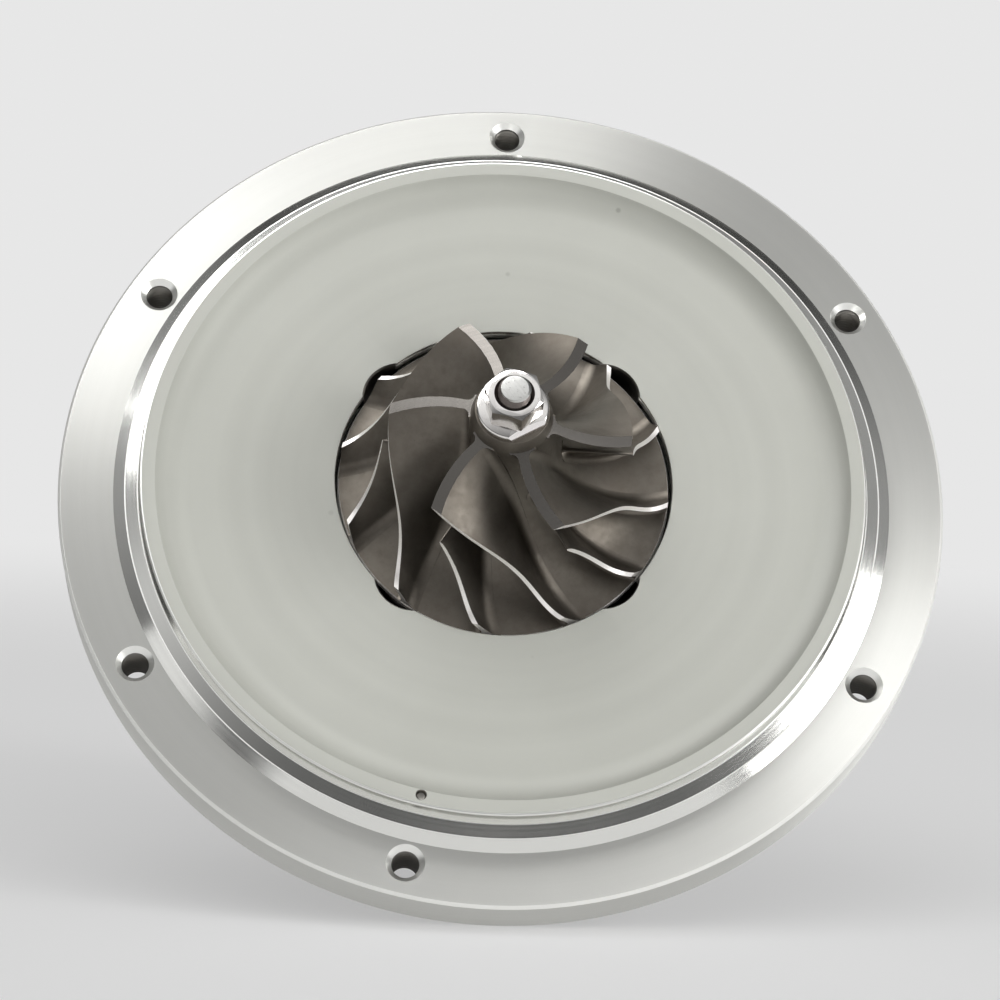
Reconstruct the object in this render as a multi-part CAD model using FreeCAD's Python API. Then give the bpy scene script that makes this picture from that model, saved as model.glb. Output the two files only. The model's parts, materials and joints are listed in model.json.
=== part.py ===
import FreeCAD, Part
import math
import os

# Turbo cartridge: seal plate, bearing housing and the rotor that runs in it.
# The origin is on the shaft axis in the front face of the bolt flange. +Z points out of the
# compressor side, +Y points to the oil inlet and -Y to the oil drain. All sizes in millimetres.

# Clearances
running_gap = 0.05
journal_gap = 0.03
seat_gap = 0.02
thread_gap = 0.05
end_float = 0.05
loose_gap = 0.3

# Seal plate, front side, from the rim inwards
plate_radius = 70.0
rim_thickness = 8.8
rim_front_chamfer = 0.45
rim_back_chamfer = 0.7
land_width = 8.65
bevel_width = 1.8
bevel_rise = 1.11
slope_width = 2.0
slope_rise = 0.84
lip_draft = 0.55
lip_height = 4.6
lip_width = 2.4
lip_chamfer = 0.35
cove_width = 5.1
cove_fillet = 5.1
face_rise = 1.85

# Seal plate, back side and centre
rim_back_width = 11.0
web_thickness = 6.2
boss_radius = 33.0
pocket_floor_thickness = 6.95
spigot_radius = 17.4
spigot_wall = 4.2
spigot_length = 4.0
seal_wall_thickness = 9.25
boss_chamfer = 3.0
rim_back_slope = 1.5

# Tapped holes of the bolt flange
flange_hole_radius = 2.1
flange_hole_inset = 5.25
even_hole_angles = (30.0, 90.0, 150.0, 210.0, 330.0)
offset_hole_angle = 257.5
drill_spot_angle = 257.5
drill_spot_inset = 1.6
drill_spot_radius = 0.9
drill_spot_depth = 0.8

# Cap screws of the seal plate
plate_screw_angles = (44.5, 139.5, 230.5, 314.5)
plate_screw_circle = 21.8
plate_screw_radius = 2.5
plate_screw_head_radius = 4.25
plate_screw_head_height = 5.0
plate_screw_length = 14.0
blind_hole_room = 1.0
plate_screw_socket_flats = 4.0
plate_screw_socket_depth = 2.5
plate_screw_pocket_radius = 5.9

# O-ring between plate and housing
o_ring_groove_depth = 1.3
o_ring_groove_width = 1.8
o_ring_groove_offset = 1.1
o_ring_corner_share = 0.25

# Compressor wheel
wheel_radius = 26.1
wheel_disc_front = 0.35
wheel_disc_thickness = 1.2
wheel_back_gap = 0.9
wheel_recess_gap = 0.5
wheel_boss_radius = 7.5
wheel_boss_length = 0.4
wheel_tip_height = 3.3
wheel_eye_radius = 18.6
wheel_eye_height = 20.8
wheel_hub_radius = 6.3
wheel_hub_height = 23.7
wheel_nose_radius = 5.7
wheel_nose_height = 25.9
wheel_blade_count = 6
wheel_blade_angle = 53.5
wheel_blade_wrap = 57.0
wheel_blade_lean_at_eye = -8.0
wheel_blade_lean_at_rim = 5.0
wheel_blade_root = 1.5
wheel_blade_tip = 0.85
wheel_blade_steady_share = 0.36
wheel_blade_turn_power = 4.6
splitter_start = 0.29
blade_setback = 0.12
blade_root_share = 0.75
hub_bands = 8
wheel_blade_shares = (0.0, 0.1, 0.22, 0.38, 0.6, 1.0)
splitter_shares = (0.45, 0.7, 1.0)
slope_step = 0.01

# Nut and shaft end
stub_radius = 2.5
stub_chamfer = 0.43
nut_flange_radius = 5.5
nut_flange_height = 1.0
nut_flats = 8.0
nut_height = 5.3
nut_turn = 45.0
nut_chamfer = 0.8
nut_crown_share = 0.96
nut_collar_rise = 0.35
nut_balance_cut = 0.75
nut_balance_angle = 300.0
stub_stand_out = 1.55

# Flinger and compressor side piston ring
flinger_radius = 7.95
flinger_disc_radius = 11.4
flinger_disc_thickness = 1.8
flinger_neck_radius = 5.5
flinger_disc_gap = 0.9
seal_ring_width = 1.2
seal_ring_thickness = 1.25
seal_ring_slot = 0.6
seal_ring_side_gap = 0.1
compressor_ring_offset = 3.0

# Thrust parts
deflector_thickness = 0.6
deflector_notch_inset = 2.0
thrust_bearing_thickness = 3.4
thrust_bearing_notch = 12.0
thrust_notch_inset = 1.0
thrust_collar_radius = 8.8
thrust_collar_thickness = 2.0
thrust_sleeve_radius = 4.2
thrust_groove_width = 1.2
thrust_groove_depth = 0.5
thrust_groove_count = 4
thrust_groove_angle = 45.0
thrust_screw_count = 3
thrust_screw_circle = 13.2
thrust_screw_radius = 1.5
thrust_screw_head_radius = 2.8
thrust_screw_length = 8.0
thrust_screw_angle = 90.0

# Journals, bearings and their retaining rings
journal_radius = 4.0
bearing_wall = 2.2
bearing_length = 8.0
bearing_spacing = 16.0
bearing_front_room = 0.95
bearing_oil_hole_radius = 0.8
bearing_oil_hole_count = 4
bearing_oil_hole_angle = 45.0
clip_thickness = 1.0
clip_depth = 0.8
clip_inner_wall = 1.2
clip_gap = 0.3
clip_slot = 2.4

# Turbine end of shaft and housing
turbine_seal_radius = 7.9
turbine_seal_length = 7.0
slinger_room = 1.6
slinger_radius = 12.0
turbine_ring_offset = 1.3
turbine_ring_pitch = 2.6
turbine_ring_count = 2

# Bearing housing, outside
front_flange_radius = 30.0
front_flange_thickness = 9.0
waist_radius = 20.5
turbine_flange_radius = 37.0
turbine_flange_thickness = 5.5
turbine_face_offset = 5.8
turbine_spigot_step = 5.5
turbine_spigot_height = 1.2
turbine_nose_radius = 11.0
turbine_nose_height = 2.6
housing_fillet = 5.0

# Oil inlet, drain flange and oil ways
inlet_boss_radius = 10.5
inlet_boss_height = 33.0
inlet_thread_radius = 5.4
inlet_thread_depth = 10.0
feed_radius = 1.6
feed_length = 4.8
gallery_radius = 1.1
middle_cavity_radius = 9.5
drain_hole_radius = 6.4
drain_face = 37.0
drain_flange_thickness = 8.0
drain_flange_width = 25.0
drain_bolt_spacing = 38.0
drain_bolt_radius = 3.4
drain_ear_radius = 8.0
drain_neck_radius = 11.0
front_drain_radius = 3.0
front_drain_inset = 4.5
front_drain_lift = 1.0
rear_drain_radius = 2.4
drain_merge_radius = 18.0

# Heat shield and locating pin
shield_thickness = 0.8
shield_rim_width = 3.4
shield_slope_width = 3.6
shield_dish_height = 2.4
shield_hole_gap = 1.2
pin_radius = 1.9
pin_length = 7.5
pin_stand_out = 3.5
pin_inset = 2.8
pin_angle = 60.0

# Turbine wheel
turbine_radius = 25.0
turbine_back_gap = 1.6
turbine_disc_thickness = 1.0
turbine_tip_height = 6.4
turbine_exit_radius = 20.8
turbine_exit_height = 22.0
turbine_hub_radius = 6.6
turbine_hub_height = 23.5
turbine_boss_flats = 11.0
turbine_boss_height = 4.0
turbine_blade_count = 11
turbine_blade_wrap = 40.0
turbine_blade_root = 1.7
turbine_blade_tip = 0.9
turbine_blade_steady_share = 0.0
turbine_blade_turn_power = 2.4
turbine_blade_shares = (0.0, 0.12, 0.28, 0.55, 1.0)

# Circles and heights that follow from the sizes above
flange_hole_circle = plate_radius - flange_hole_inset
pin_circle = turbine_flange_radius - pin_inset
turbine_spigot_radius = turbine_flange_radius - turbine_spigot_step
shield_dish_radius = turbine_spigot_radius - shield_rim_width - shield_slope_width
wheel_back = wheel_disc_front - wheel_disc_thickness
recess_floor = wheel_back - wheel_back_gap
recess_radius = wheel_radius + wheel_recess_gap
wheel_boss_back = recess_floor - wheel_boss_length
seal_bore_radius = flinger_radius + running_gap
screw_seat = recess_floor - loose_gap - plate_screw_head_height
joint_face = screw_seat - pocket_floor_thickness
seal_wall_back = recess_floor - seal_wall_thickness
spigot_end = joint_face - spigot_length
cavity_radius = spigot_radius + running_gap
thrust_front = spigot_end - deflector_thickness
thrust_back = thrust_front - thrust_bearing_thickness
collar_front_face = thrust_front + end_float
collar_front_top = collar_front_face + thrust_collar_thickness
collar_rear_face = thrust_back - end_float
collar_rear_back = collar_rear_face - thrust_collar_thickness
collar_pocket_floor = collar_rear_back - loose_gap
bearing_bore_radius = journal_radius + journal_gap + bearing_wall + running_gap
bearing_front = collar_rear_back - bearing_front_room
bearing_rear = bearing_front - bearing_length - bearing_spacing
bearing_rear_end = bearing_rear - bearing_length
clip_tops = (
    bearing_front - bearing_length - clip_gap,
    bearing_rear + clip_gap + clip_thickness,
    bearing_rear_end - clip_gap,
)
slinger_front = clip_tops[2] - clip_thickness - clip_gap
turbine_seal_front = slinger_front - slinger_room
turbine_face = turbine_seal_front - turbine_face_offset
turbine_nose = turbine_face - turbine_nose_height
turbine_seal_end = turbine_seal_front - turbine_seal_length
turbine_seal_bore = turbine_seal_radius + running_gap + running_gap
shield_top = turbine_face - turbine_spigot_height - shield_dish_height
shield_back = shield_top - shield_thickness
turbine_back = min(shield_back, turbine_nose) - turbine_back_gap
oil_axis = bearing_front - bearing_length - bearing_spacing / 2
nut_seat = wheel_nose_height
nut_top = nut_seat + nut_height
shaft_end = nut_top + stub_stand_out


def point(radius, degrees, z):
    """A point given by its radius, its angle about the shaft axis and its height."""
    turn = math.radians(degrees)
    return FreeCAD.Vector(radius * math.cos(turn), radius * math.sin(turn), z)


def cylinder(radius, low, high):
    """A plain cylinder on the shaft axis between two heights."""
    return Part.makeCylinder(radius, high - low, FreeCAD.Vector(0, 0, low))


def rounded_wire(corners):
    """A closed wire in the XZ plane through (r, z) corners; a third number rounds its corner."""
    edges = []
    ends = []
    count = len(corners)
    for index, corner in enumerate(corners):
        here = FreeCAD.Vector(corner[0], 0, corner[1])
        radius = corner[2] if len(corner) > 2 else 0.0
        before = corners[index - 1]
        after = corners[(index + 1) % count]
        to_before = (FreeCAD.Vector(before[0], 0, before[1]) - here).normalize()
        to_after = (FreeCAD.Vector(after[0], 0, after[1]) - here).normalize()
        if radius <= 0.0:
            ends.append((here, here, None))
            continue
        half_angle = to_before.getAngle(to_after) / 2
        run = radius / math.tan(half_angle)
        bisector = (to_before + to_after).normalize()
        middle = here + bisector * (radius / math.sin(half_angle) - radius)
        ends.append((here + to_before * run, here + to_after * run, middle))
    for index, (arc_start, arc_end, middle) in enumerate(ends):
        if middle is not None:
            edges.append(Part.Arc(arc_start, middle, arc_end).toShape())
        next_start = ends[(index + 1) % count][0]
        edges.append(Part.makeLine(arc_end, next_start))
    return Part.Wire(edges)


def turned(corners):
    """A solid turned about the shaft axis from its half section."""
    face = Part.Face(rounded_wire(corners))
    return face.revolve(FreeCAD.Vector(0, 0, 0), FreeCAD.Vector(0, 0, 1), 360)


def ring(inner, outer, low, high):
    """A plain ring on the shaft axis."""
    return turned([(inner, low), (outer, low), (outer, high), (inner, high)])


def at_angles(shape, angles):
    """Copies of a shape, one at each angle about the shaft axis."""
    copies = []
    for degrees in angles:
        copy = shape.copy()
        copy.rotate(FreeCAD.Vector(0, 0, 0), FreeCAD.Vector(0, 0, 1), degrees)
        copies.append(copy)
    return copies


def around(shape, count, first_angle=0.0):
    """Copies of a shape, evenly spaced about the shaft axis."""
    return at_angles(shape, [first_angle + 360.0 * index / count for index in range(count)])


def hexagon(flats, low, high, turn=0.0):
    """A hexagonal prism along Z, given by the width across its flats."""
    corner_radius = flats / math.sqrt(3.0)
    corners = [point(corner_radius, turn + 60.0 * index, low) for index in range(7)]
    return Part.Face(Part.makePolygon(corners)).extrude(FreeCAD.Vector(0, 0, high - low))


class BladeEdge:
    """The line where a blade meets the hub or the shroud: a quarter ellipse that also wraps round."""

    def __init__(self, eye, rim, start_angle, wrap):
        self.eye = eye
        self.rim = rim
        self.start_angle = start_angle
        self.wrap = wrap

    def section_point(self, share):
        """Radius and height at a share of the way from the eye to the rim."""
        turn = share * math.pi / 2
        radius = self.rim[0] - (self.rim[0] - self.eye[0]) * math.cos(turn)
        z = self.eye[1] + (self.rim[1] - self.eye[1]) * math.sin(turn)
        return radius, z

    def at(self, share, steady, power):
        """The point in space, where the wrap is quick at the eye and steady towards the rim."""
        radius, z = self.section_point(share)
        swept = (1 - steady) * (1 - (1 - share) ** power) + steady * share
        return point(radius, self.start_angle + self.wrap * swept, z)


def blade(hub_edge, shroud_edge, shares, root, tip, root_depth, steady, power, turned_front=False):
    """One blade, lofted through flat four-cornered sections; a turned front edge lies across the shaft."""
    wires = []
    for share in shares:
        hub = hub_edge.at(share, steady, power)
        shroud = shroud_edge.at(share, steady, power)
        before = max(share - slope_step, 0.0)
        after = min(share + slope_step, 1.0)
        along = (hub_edge.at(after, steady, power) + shroud_edge.at(after, steady, power)
                 - hub_edge.at(before, steady, power) - shroud_edge.at(before, steady, power))
        span = (shroud - hub).normalize()
        side = along.cross(span).normalize()
        if turned_front and share == shares[0]:
            middle = hub + shroud
            across = FreeCAD.Vector(-middle.y, middle.x, 0).normalize()
            side = across * (1 / side.dot(across))
        foot = hub - span * root_depth
        corners = [foot - side * (root / 2), shroud - side * (tip / 2),
                   shroud + side * (tip / 2), foot + side * (root / 2)]
        wires.append(Part.makePolygon(corners + corners[:1]))
    return Part.makeLoft(wires, True, False)


def hub_solid(eye, rim, points_before, points_after):
    """A wheel hub: its flow surface follows the line its blades stand on, in short cone bands."""
    edge = BladeEdge(eye, rim, 0, 0)
    flow_points = [edge.section_point(index / hub_bands) for index in range(hub_bands + 1)]
    return turned(points_before + flow_points + points_after)


def seal_plate():
    """The plate that closes the compressor side and carries the bolt flange."""
    land_edge = plate_radius - land_width
    bevel_edge = land_edge - bevel_width
    slope_edge = bevel_edge - slope_width
    lip_outer = slope_edge - lip_draft
    lip_inner = lip_outer - lip_width
    face_edge = lip_inner - cove_width
    back_edge = plate_radius - rim_back_width
    plate = turned([
        (seal_bore_radius, recess_floor),
        (seal_bore_radius, seal_wall_back),
        (spigot_radius - spigot_wall, seal_wall_back),
        (spigot_radius - spigot_wall, spigot_end),
        (spigot_radius, spigot_end),
        (spigot_radius, joint_face),
        (boss_radius, joint_face),
        (boss_radius, -web_thickness - boss_chamfer),
        (boss_radius + boss_chamfer, -web_thickness),
        (back_edge - rim_back_slope, -web_thickness),
        (back_edge, -rim_thickness),
        (plate_radius - rim_back_chamfer, -rim_thickness),
        (plate_radius, rim_back_chamfer - rim_thickness),
        (plate_radius, -rim_front_chamfer),
        (plate_radius - rim_front_chamfer, 0),
        (land_edge, 0),
        (bevel_edge, bevel_rise),
        (slope_edge, bevel_rise + slope_rise),
        (lip_outer, lip_height - lip_chamfer),
        (lip_outer - lip_chamfer, lip_height),
        (lip_inner, lip_height),
        (face_edge, face_rise, cove_fillet),
        (recess_radius, face_rise),
        (recess_radius, recess_floor),
    ])
    groove_top = joint_face - o_ring_groove_offset
    cuts = [ring(spigot_radius - o_ring_groove_depth, spigot_radius + loose_gap,
                 groove_top - o_ring_groove_width, groove_top)]
    pocket = cylinder(plate_screw_pocket_radius, screw_seat, face_rise)
    pocket = pocket.fuse(cylinder(plate_screw_radius + thread_gap * 2, joint_face, screw_seat))
    pocket.translate(FreeCAD.Vector(plate_screw_circle, 0, 0))
    cuts += at_angles(pocket, plate_screw_angles)
    hole = cylinder(flange_hole_radius, -rim_thickness, 0)
    hole.translate(FreeCAD.Vector(flange_hole_circle, 0, 0))
    cuts += at_angles(hole, even_hole_angles + (offset_hole_angle,))
    spot = cylinder(drill_spot_radius, lip_height - drill_spot_depth, lip_height)
    spot.translate(FreeCAD.Vector(lip_outer - drill_spot_inset, 0, 0))
    cuts += at_angles(spot, [drill_spot_angle])
    return plate.cut(cuts)


def seal_plate_screws():
    """The cap screws that hold the plate to the bearing housing."""
    head_top = screw_seat + plate_screw_head_height
    screw = cylinder(plate_screw_head_radius, screw_seat, head_top)
    screw = screw.fuse(cylinder(plate_screw_radius, screw_seat - plate_screw_length, screw_seat))
    screw = screw.cut(hexagon(plate_screw_socket_flats, head_top - plate_screw_socket_depth, head_top))
    screw.translate(FreeCAD.Vector(plate_screw_circle, 0, 0))
    return Part.makeCompound(at_angles(screw, plate_screw_angles))


def seal_plate_o_ring():
    """The O-ring in the groove of the plate's spigot, squeezed flat inside and outside."""
    inner = spigot_radius - o_ring_groove_depth + seat_gap
    outer = cavity_radius - seat_gap
    bulge = (outer - inner) * o_ring_corner_share
    top = joint_face - o_ring_groove_offset - seat_gap
    low = joint_face - o_ring_groove_offset - o_ring_groove_width + seat_gap
    return turned([
        (inner, low + bulge), (inner + bulge, low), (outer - bulge, low), (outer, low + bulge),
        (outer, top - bulge), (outer - bulge, top), (inner + bulge, top), (inner, top - bulge),
    ])


def compressor_wheel():
    """The compressor wheel with full blades and splitters between them."""
    rim_hub = (wheel_radius - blade_setback, wheel_disc_front)
    rim_shroud = (wheel_radius - blade_setback, wheel_disc_front + wheel_tip_height)
    hub_wrap = wheel_blade_wrap - wheel_blade_lean_at_eye + wheel_blade_lean_at_rim
    hub_edge = BladeEdge((wheel_hub_radius, wheel_hub_height), rim_hub,
                         wheel_blade_angle + wheel_blade_lean_at_eye, hub_wrap)
    shroud_edge = BladeEdge((wheel_eye_radius, wheel_eye_height), rim_shroud,
                            wheel_blade_angle, wheel_blade_wrap)
    before = [(stub_radius + seat_gap, wheel_boss_back), (stub_radius + seat_gap, wheel_nose_height),
              (wheel_nose_radius, wheel_nose_height)]
    after = [(wheel_radius, wheel_back), (wheel_boss_radius, wheel_back),
             (wheel_boss_radius, wheel_boss_back)]
    hub = hub_solid(hub_edge.eye, (wheel_radius, wheel_disc_front), before, after)
    root_depth = wheel_disc_thickness * blade_root_share
    full = blade(hub_edge, shroud_edge, wheel_blade_shares, wheel_blade_root, wheel_blade_tip,
                 root_depth, wheel_blade_steady_share, wheel_blade_turn_power, turned_front=True)
    splitter = blade(hub_edge, shroud_edge, (splitter_start,) + splitter_shares, wheel_blade_root,
                     wheel_blade_tip, root_depth, wheel_blade_steady_share, wheel_blade_turn_power)
    blades = around(full, wheel_blade_count)
    blades += around(splitter, wheel_blade_count, 180.0 / wheel_blade_count)
    return hub.fuse(blades)


def turbine_wheel():
    """The turbine wheel, welded to the shaft's seal boss."""
    disc_front = turbine_back - turbine_disc_thickness
    rim_hub = (turbine_radius - blade_setback, disc_front)
    rim_shroud = (turbine_radius - blade_setback, disc_front - turbine_tip_height)
    hub_eye = (turbine_hub_radius, turbine_back - turbine_hub_height)
    shroud_eye = (turbine_exit_radius, turbine_back - turbine_exit_height)
    hub_edge = BladeEdge(hub_eye, rim_hub, turbine_blade_wrap, -turbine_blade_wrap)
    shroud_edge = BladeEdge(shroud_eye, rim_shroud, turbine_blade_wrap, -turbine_blade_wrap)
    hub_end = hub_eye[1] - turbine_disc_thickness
    before = [(0, turbine_seal_end), (0, hub_end), (turbine_hub_radius, hub_end)]
    after = [(turbine_radius, turbine_back), (turbine_seal_radius, turbine_back),
             (turbine_seal_radius, turbine_seal_end)]
    hub = hub_solid(hub_eye, (turbine_radius, disc_front), before, after)
    boss = hexagon(turbine_boss_flats, hub_end - turbine_boss_height, hub_end)
    vane = blade(hub_edge, shroud_edge, turbine_blade_shares, turbine_blade_root, turbine_blade_tip,
                 turbine_disc_thickness * blade_root_share,
                 turbine_blade_steady_share, turbine_blade_turn_power)
    return hub.fuse([boss] + around(vane, turbine_blade_count))


def shaft():
    """The shaft: turbine seal boss with ring grooves, journals and the long stub."""
    groove_bottom = turbine_seal_radius - seal_ring_thickness - loose_gap
    corners = [
        (0, turbine_seal_end),
        (turbine_seal_radius, turbine_seal_end),
    ]
    for index in reversed(range(turbine_ring_count)):
        top = turbine_ring_top(index) + seal_ring_side_gap
        low = top - seal_ring_width - seal_ring_side_gap * 2
        corners += [(turbine_seal_radius, low), (groove_bottom, low),
                    (groove_bottom, top), (turbine_seal_radius, top)]
    corners += [
        (turbine_seal_radius, turbine_seal_front),
        (journal_radius, turbine_seal_front),
        (journal_radius, collar_rear_back),
        (stub_radius, collar_rear_back),
        (stub_radius, shaft_end - stub_chamfer),
        (stub_radius - stub_chamfer, shaft_end),
        (0, shaft_end),
    ]
    return turned(corners)


def turbine_ring_top(index):
    """Height of the compressor-side face of one turbine side piston ring."""
    return turbine_seal_front - turbine_ring_offset - turbine_ring_pitch * index


def shaft_nut():
    """The flanged nut, with a spot ground off its flange when the rotor was balanced."""
    nut = hexagon(nut_flats, nut_seat, nut_top, nut_turn)
    corner_radius = nut_flats / math.sqrt(3.0)
    collar_top = nut_seat + nut_flange_height + nut_collar_rise
    crown = turned([
        (0, nut_seat), (corner_radius + nut_chamfer, nut_seat),
        (corner_radius + nut_chamfer, nut_top - nut_chamfer),
        (nut_flats / 2 * nut_crown_share, nut_top), (0, nut_top),
    ])
    flange = turned([
        (0, nut_seat), (nut_flange_radius, nut_seat),
        (nut_flange_radius, nut_seat + nut_flange_height), (nut_flats / 2, collar_top), (0, collar_top),
    ])
    side = nut_flange_radius * 2
    ground = Part.makeBox(side, side, side)
    ground.translate(FreeCAD.Vector(nut_flange_radius - nut_balance_cut, -side / 2, nut_seat - side / 2))
    ground.rotate(FreeCAD.Vector(0, 0, nut_seat), FreeCAD.Vector(0, 0, 1), nut_balance_angle)
    return nut.common(crown).fuse(flange).cut([cylinder(stub_radius + seat_gap, nut_seat, nut_top), ground])


def oil_flinger():
    """The sleeve behind the wheel, with its piston ring groove and flinger disc."""
    ring_top = wheel_boss_back - compressor_ring_offset + seal_ring_side_gap
    ring_low = ring_top - seal_ring_width - seal_ring_side_gap * 2
    groove_bottom = flinger_radius - seal_ring_thickness - loose_gap
    bore = stub_radius + seat_gap
    disc_top = seal_wall_back - flinger_disc_gap
    return turned([
        (bore, wheel_boss_back), (bore, collar_front_top), (flinger_neck_radius, collar_front_top),
        (flinger_neck_radius, disc_top - flinger_disc_thickness),
        (flinger_disc_radius, disc_top - flinger_disc_thickness), (flinger_disc_radius, disc_top),
        (flinger_radius, disc_top), (flinger_radius, ring_low), (groove_bottom, ring_low),
        (groove_bottom, ring_top), (flinger_radius, ring_top), (flinger_radius, wheel_boss_back),
    ])


def piston_ring(bore_radius, top):
    """A split piston ring that springs against the bore it sits in."""
    outer = bore_radius - seat_gap
    whole = ring(outer - seal_ring_thickness, outer, top - seal_ring_width, top)
    slot = Part.makeBox(bore_radius, seal_ring_slot, seal_ring_width,
                        FreeCAD.Vector(0, -seal_ring_slot / 2, top - seal_ring_width))
    slot.rotate(FreeCAD.Vector(0, 0, 0), FreeCAD.Vector(0, 0, 1), 90)
    return whole.cut(slot)


def oil_deflector():
    """The sheet deflector between the spigot and the thrust bearing."""
    sheet = ring(thrust_collar_radius + loose_gap * 2, spigot_radius, thrust_front, spigot_end)
    notch_top = -(thrust_collar_radius + deflector_notch_inset)
    notch = Part.makeBox(thrust_bearing_notch, spigot_radius, deflector_thickness,
                         FreeCAD.Vector(-thrust_bearing_notch / 2, notch_top - spigot_radius, thrust_front))
    return sheet.cut(notch)


def thrust_bearing():
    """The thrust bearing with its drain notch, screw holes and oil grooves on both faces."""
    bore = thrust_sleeve_radius + running_gap * 2
    bearing = ring(bore, spigot_radius, thrust_back, thrust_front)
    notch_top = -(thrust_collar_radius + thrust_notch_inset)
    cuts = [Part.makeBox(thrust_bearing_notch, spigot_radius, thrust_bearing_thickness,
                         FreeCAD.Vector(-thrust_bearing_notch / 2, notch_top - spigot_radius, thrust_back))]
    groove = Part.makeBox(thrust_collar_radius - journal_radius, thrust_groove_width, thrust_groove_depth,
                          FreeCAD.Vector(journal_radius, -thrust_groove_width / 2, 0))
    for low in (thrust_front - thrust_groove_depth, thrust_back):
        face_groove = groove.copy()
        face_groove.translate(FreeCAD.Vector(0, 0, low))
        cuts += around(face_groove, thrust_groove_count, thrust_groove_angle)
    head_height = thrust_screw_head_radius - thrust_screw_radius
    hole = cylinder(thrust_screw_radius + thread_gap, thrust_back, thrust_front)
    hole = hole.fuse(Part.makeCone(thrust_screw_radius + thread_gap, thrust_screw_head_radius + thread_gap,
                                   head_height, FreeCAD.Vector(0, 0, thrust_front - head_height)))
    hole.translate(FreeCAD.Vector(thrust_screw_circle, 0, 0))
    cuts += around(hole, thrust_screw_count, thrust_screw_angle)
    return bearing.cut(cuts)


def thrust_bearing_screws():
    """The countersunk screws of the thrust bearing."""
    head_height = thrust_screw_head_radius - thrust_screw_radius
    screw = cylinder(thrust_screw_radius, thrust_front - thrust_screw_length, thrust_front)
    screw = screw.fuse(Part.makeCone(thrust_screw_radius, thrust_screw_head_radius, head_height,
                                     FreeCAD.Vector(0, 0, thrust_front - head_height)))
    screw.translate(FreeCAD.Vector(thrust_screw_circle, 0, 0))
    return Part.makeCompound(around(screw, thrust_screw_count, thrust_screw_angle))


def thrust_collar_front():
    """The front thrust collar, with the sleeve that runs through the thrust bearing."""
    bore = stub_radius + seat_gap
    return turned([
        (bore, collar_rear_face), (thrust_sleeve_radius, collar_rear_face),
        (thrust_sleeve_radius, collar_front_face), (thrust_collar_radius, collar_front_face),
        (thrust_collar_radius, collar_front_top), (bore, collar_front_top),
    ])


def thrust_collar_rear():
    """The rear thrust collar, clamped against the journal shoulder."""
    return ring(stub_radius + seat_gap, thrust_collar_radius, collar_rear_back, collar_rear_face)


def journal_bearing(top):
    """A floating bronze bearing with radial oil holes."""
    inner = journal_radius + journal_gap
    sleeve = ring(inner, inner + bearing_wall, top - bearing_length, top)
    hole = Part.makeCylinder(bearing_oil_hole_radius, inner + bearing_wall * 2,
                             FreeCAD.Vector(0, 0, top - bearing_length / 2), FreeCAD.Vector(1, 0, 0))
    return sleeve.cut(around(hole, bearing_oil_hole_count, bearing_oil_hole_angle))


def bearing_clip(top):
    """A retaining ring in its groove in the bearing bore, open on one side."""
    outer = bearing_bore_radius + clip_depth - seat_gap
    clip = ring(bearing_bore_radius - clip_inner_wall, outer, top - clip_thickness, top)
    slot = Part.makeBox(clip_slot, outer * 2, clip_thickness,
                        FreeCAD.Vector(-clip_slot / 2, -outer * 2, top - clip_thickness))
    return clip.cut(slot)


def heat_shield():
    """The pressed sheet dish that keeps exhaust heat off the bearing housing."""
    rim_outer = turbine_spigot_radius
    rim_inner = rim_outer - shield_rim_width
    rim_top = turbine_face - turbine_spigot_height
    dish_top = rim_top - shield_dish_height
    hole = turbine_nose_radius + shield_hole_gap
    sheet = shield_thickness
    return turned([
        (rim_outer, rim_top), (rim_inner, rim_top), (shield_dish_radius, dish_top),
        (hole, dish_top), (hole, dish_top - sheet),
        (shield_dish_radius + sheet / 2, dish_top - sheet),
        (rim_inner + sheet / 2, rim_top - sheet), (rim_outer, rim_top - sheet),
    ])


def turbine_flange_pin():
    """The pin that sets the angle of the turbine housing."""
    low = turbine_face - pin_stand_out
    pin = cylinder(pin_radius, low, low + pin_length)
    pin.translate(point(pin_circle, pin_angle, 0))
    return pin


def way(radius, start, end):
    """A round oil way drilled between two points."""
    direction = end - start
    return Part.makeCylinder(radius, direction.Length, start, direction)


def drain_flange():
    """The two-eared drain flange below the housing, with its neck up to the body."""
    half = drain_bolt_spacing / 2
    down = FreeCAD.Vector(0, 1, 0)
    neck = Part.makeCylinder(drain_neck_radius, drain_face, FreeCAD.Vector(0, -drain_face, oil_axis), down)
    bar = Part.makeBox(drain_bolt_spacing, drain_flange_thickness, drain_ear_radius * 2,
                       FreeCAD.Vector(-half, -drain_face, oil_axis - drain_ear_radius))
    ears = [Part.makeCylinder(drain_ear_radius, drain_flange_thickness,
                              FreeCAD.Vector(x, -drain_face, oil_axis), down) for x in (-half, half)]
    return neck.fuse([bar] + ears)


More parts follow.
